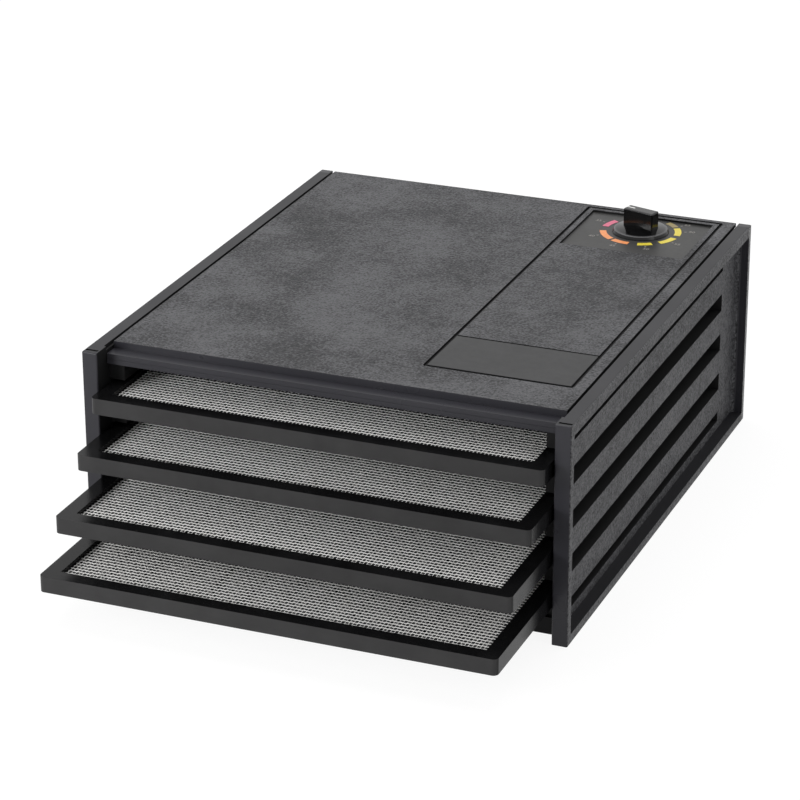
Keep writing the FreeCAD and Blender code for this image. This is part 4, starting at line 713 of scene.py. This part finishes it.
MARK_SIZE = 3.4 * MM
FACING_BACK = Matrix(((-1, 0, 0), (0, 0, 1), (0, 1, 0))).transposed().to_4x4()
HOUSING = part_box("switch_housing")
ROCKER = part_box("switch_rocker")


def on_housing(end):
    """Midway between the rocker and the low (0) or high (1) end of its housing's rear face."""
    return Matrix.Translation(((HOUSING[0].x + HOUSING[1].x) / 2, HOUSING[1].y,
                               (HOUSING[end].z + ROCKER[end].z) / 2)) @ FACING_BACK


SWITCH_MARKS = [("I", on_housing(1)), ("O", on_housing(0))]
new_piece("switch_marks", lettering("switch_marks", MARK_SIZE, SWITCH_MARKS), "case",
          WHITE_MARK)

# ---------------------------------------------------------------- stage

# The sky and the floor light the object dimly, yet look nearly white wherever they are seen.

WHITE_RAYS = ("Is Camera Ray", "Is Glossy Ray", "Is Transmission Ray")
WHITE = (1, 1, 1, 1)
WORLD_LEVEL = 0.55
FLOOR_REACH = 8
FLOOR_GLOW = 0.9
FLOOR_SHADE = (0.15, 0.15, 0.15, 1)
FLOOR_BOUNCE = (0.75, 0.75, 0.75, 1)

# Each lamp's place, its size, its watts and the point that it faces.

LAMPS = [("overhead", (-0.3, 0.5, 2.2), (2.0, 1.6), 22, (0, 0, 0.1)),
         ("right_fill", (2.2, -0.8, 1.3), (1.2, 1.2), 6, (0, 0, 0.1)),
         ("left_fill", (-0.8, -1.1, 0.45), (0.5, 0.5), 8.5, (-0.1, -0.2, 0.1))]


def add(tree, kind, **inputs):
    """A node with some of its inputs set."""
    node = tree.nodes.new(kind)
    for name, value in inputs.items():
        node.inputs[name].default_value = value
    return node


def seen_directly(tree):
    """1 for the rays that show the background, whether straight or mirrored."""
    path = add(tree, "ShaderNodeLightPath")
    factor = path.outputs[WHITE_RAYS[0]]
    for name in WHITE_RAYS[1:]:
        either = add(tree, "ShaderNodeMath")
        either.operation = "MAXIMUM"
        tree.links.new(factor, either.inputs[0])
        tree.links.new(path.outputs[name], either.inputs[1])
        factor = either.outputs[0]
    return factor


def split(tree, output, lighting, looks):
    """Gives an output one shader for the light that it sends and another for its looks."""
    mix = add(tree, "ShaderNodeMixShader")
    for socket, source in zip(mix.inputs, (seen_directly(tree), lighting.outputs[0],
                                           looks.outputs[0])):
        tree.links.new(source, socket)
    tree.links.new(mix.outputs[0], output.inputs["Surface"])


def make_world():
    world = bpy.data.worlds.new("world")
    SCENE.world = world
    world.use_nodes = True
    tree = world.node_tree
    tree.nodes.clear()
    split(tree, add(tree, "ShaderNodeOutputWorld"),
          add(tree, "ShaderNodeBackground", Color=WHITE, Strength=WORLD_LEVEL),
          add(tree, "ShaderNodeBackground", Color=WHITE, Strength=1))


def make_floor():
    corners = [(x * FLOOR_REACH, y * FLOOR_REACH, 0)
               for x, y in ((-1, -1), (1, -1), (1, 1), (-1, 1))]
    mesh = mesh_of("floor", corners, [(0, 1, 2, 3)])
    floor = bpy.data.objects.new("floor", mesh)
    SCENE.collection.objects.link(floor)
    material = bpy.data.materials.new("floor_white")
    material.use_nodes = True
    tree = material.node_tree
    tree.nodes.clear()
    shade = add(tree, "ShaderNodeBsdfDiffuse", Color=FLOOR_SHADE)
    glow = add(tree, "ShaderNodeEmission", Strength=FLOOR_GLOW)
    glowing = add(tree, "ShaderNodeAddShader")
    tree.links.new(shade.outputs[0], glowing.inputs[0])
    tree.links.new(glow.outputs[0], glowing.inputs[1])
    split(tree, add(tree, "ShaderNodeOutputMaterial"),
          add(tree, "ShaderNodeBsdfDiffuse", Color=FLOOR_BOUNCE), glowing)
    mesh.materials.append(material)


def softbox(name, place, size, power, aim):
    """A rectangular lamp."""
    light = bpy.data.lights.new(name, "AREA")
    light.shape = "RECTANGLE"
    light.size, light.size_y = size
    light.energy = power
    lamp = bpy.data.objects.new(name, light)
    SCENE.collection.objects.link(lamp)
    lamp.location = place
    lamp.rotation_euler = (Vector(aim) - Vector(place)).to_track_quat("-Z", "Y").to_euler()


make_world()
make_floor()
for lamp_facts in LAMPS:
    softbox(*lamp_facts)
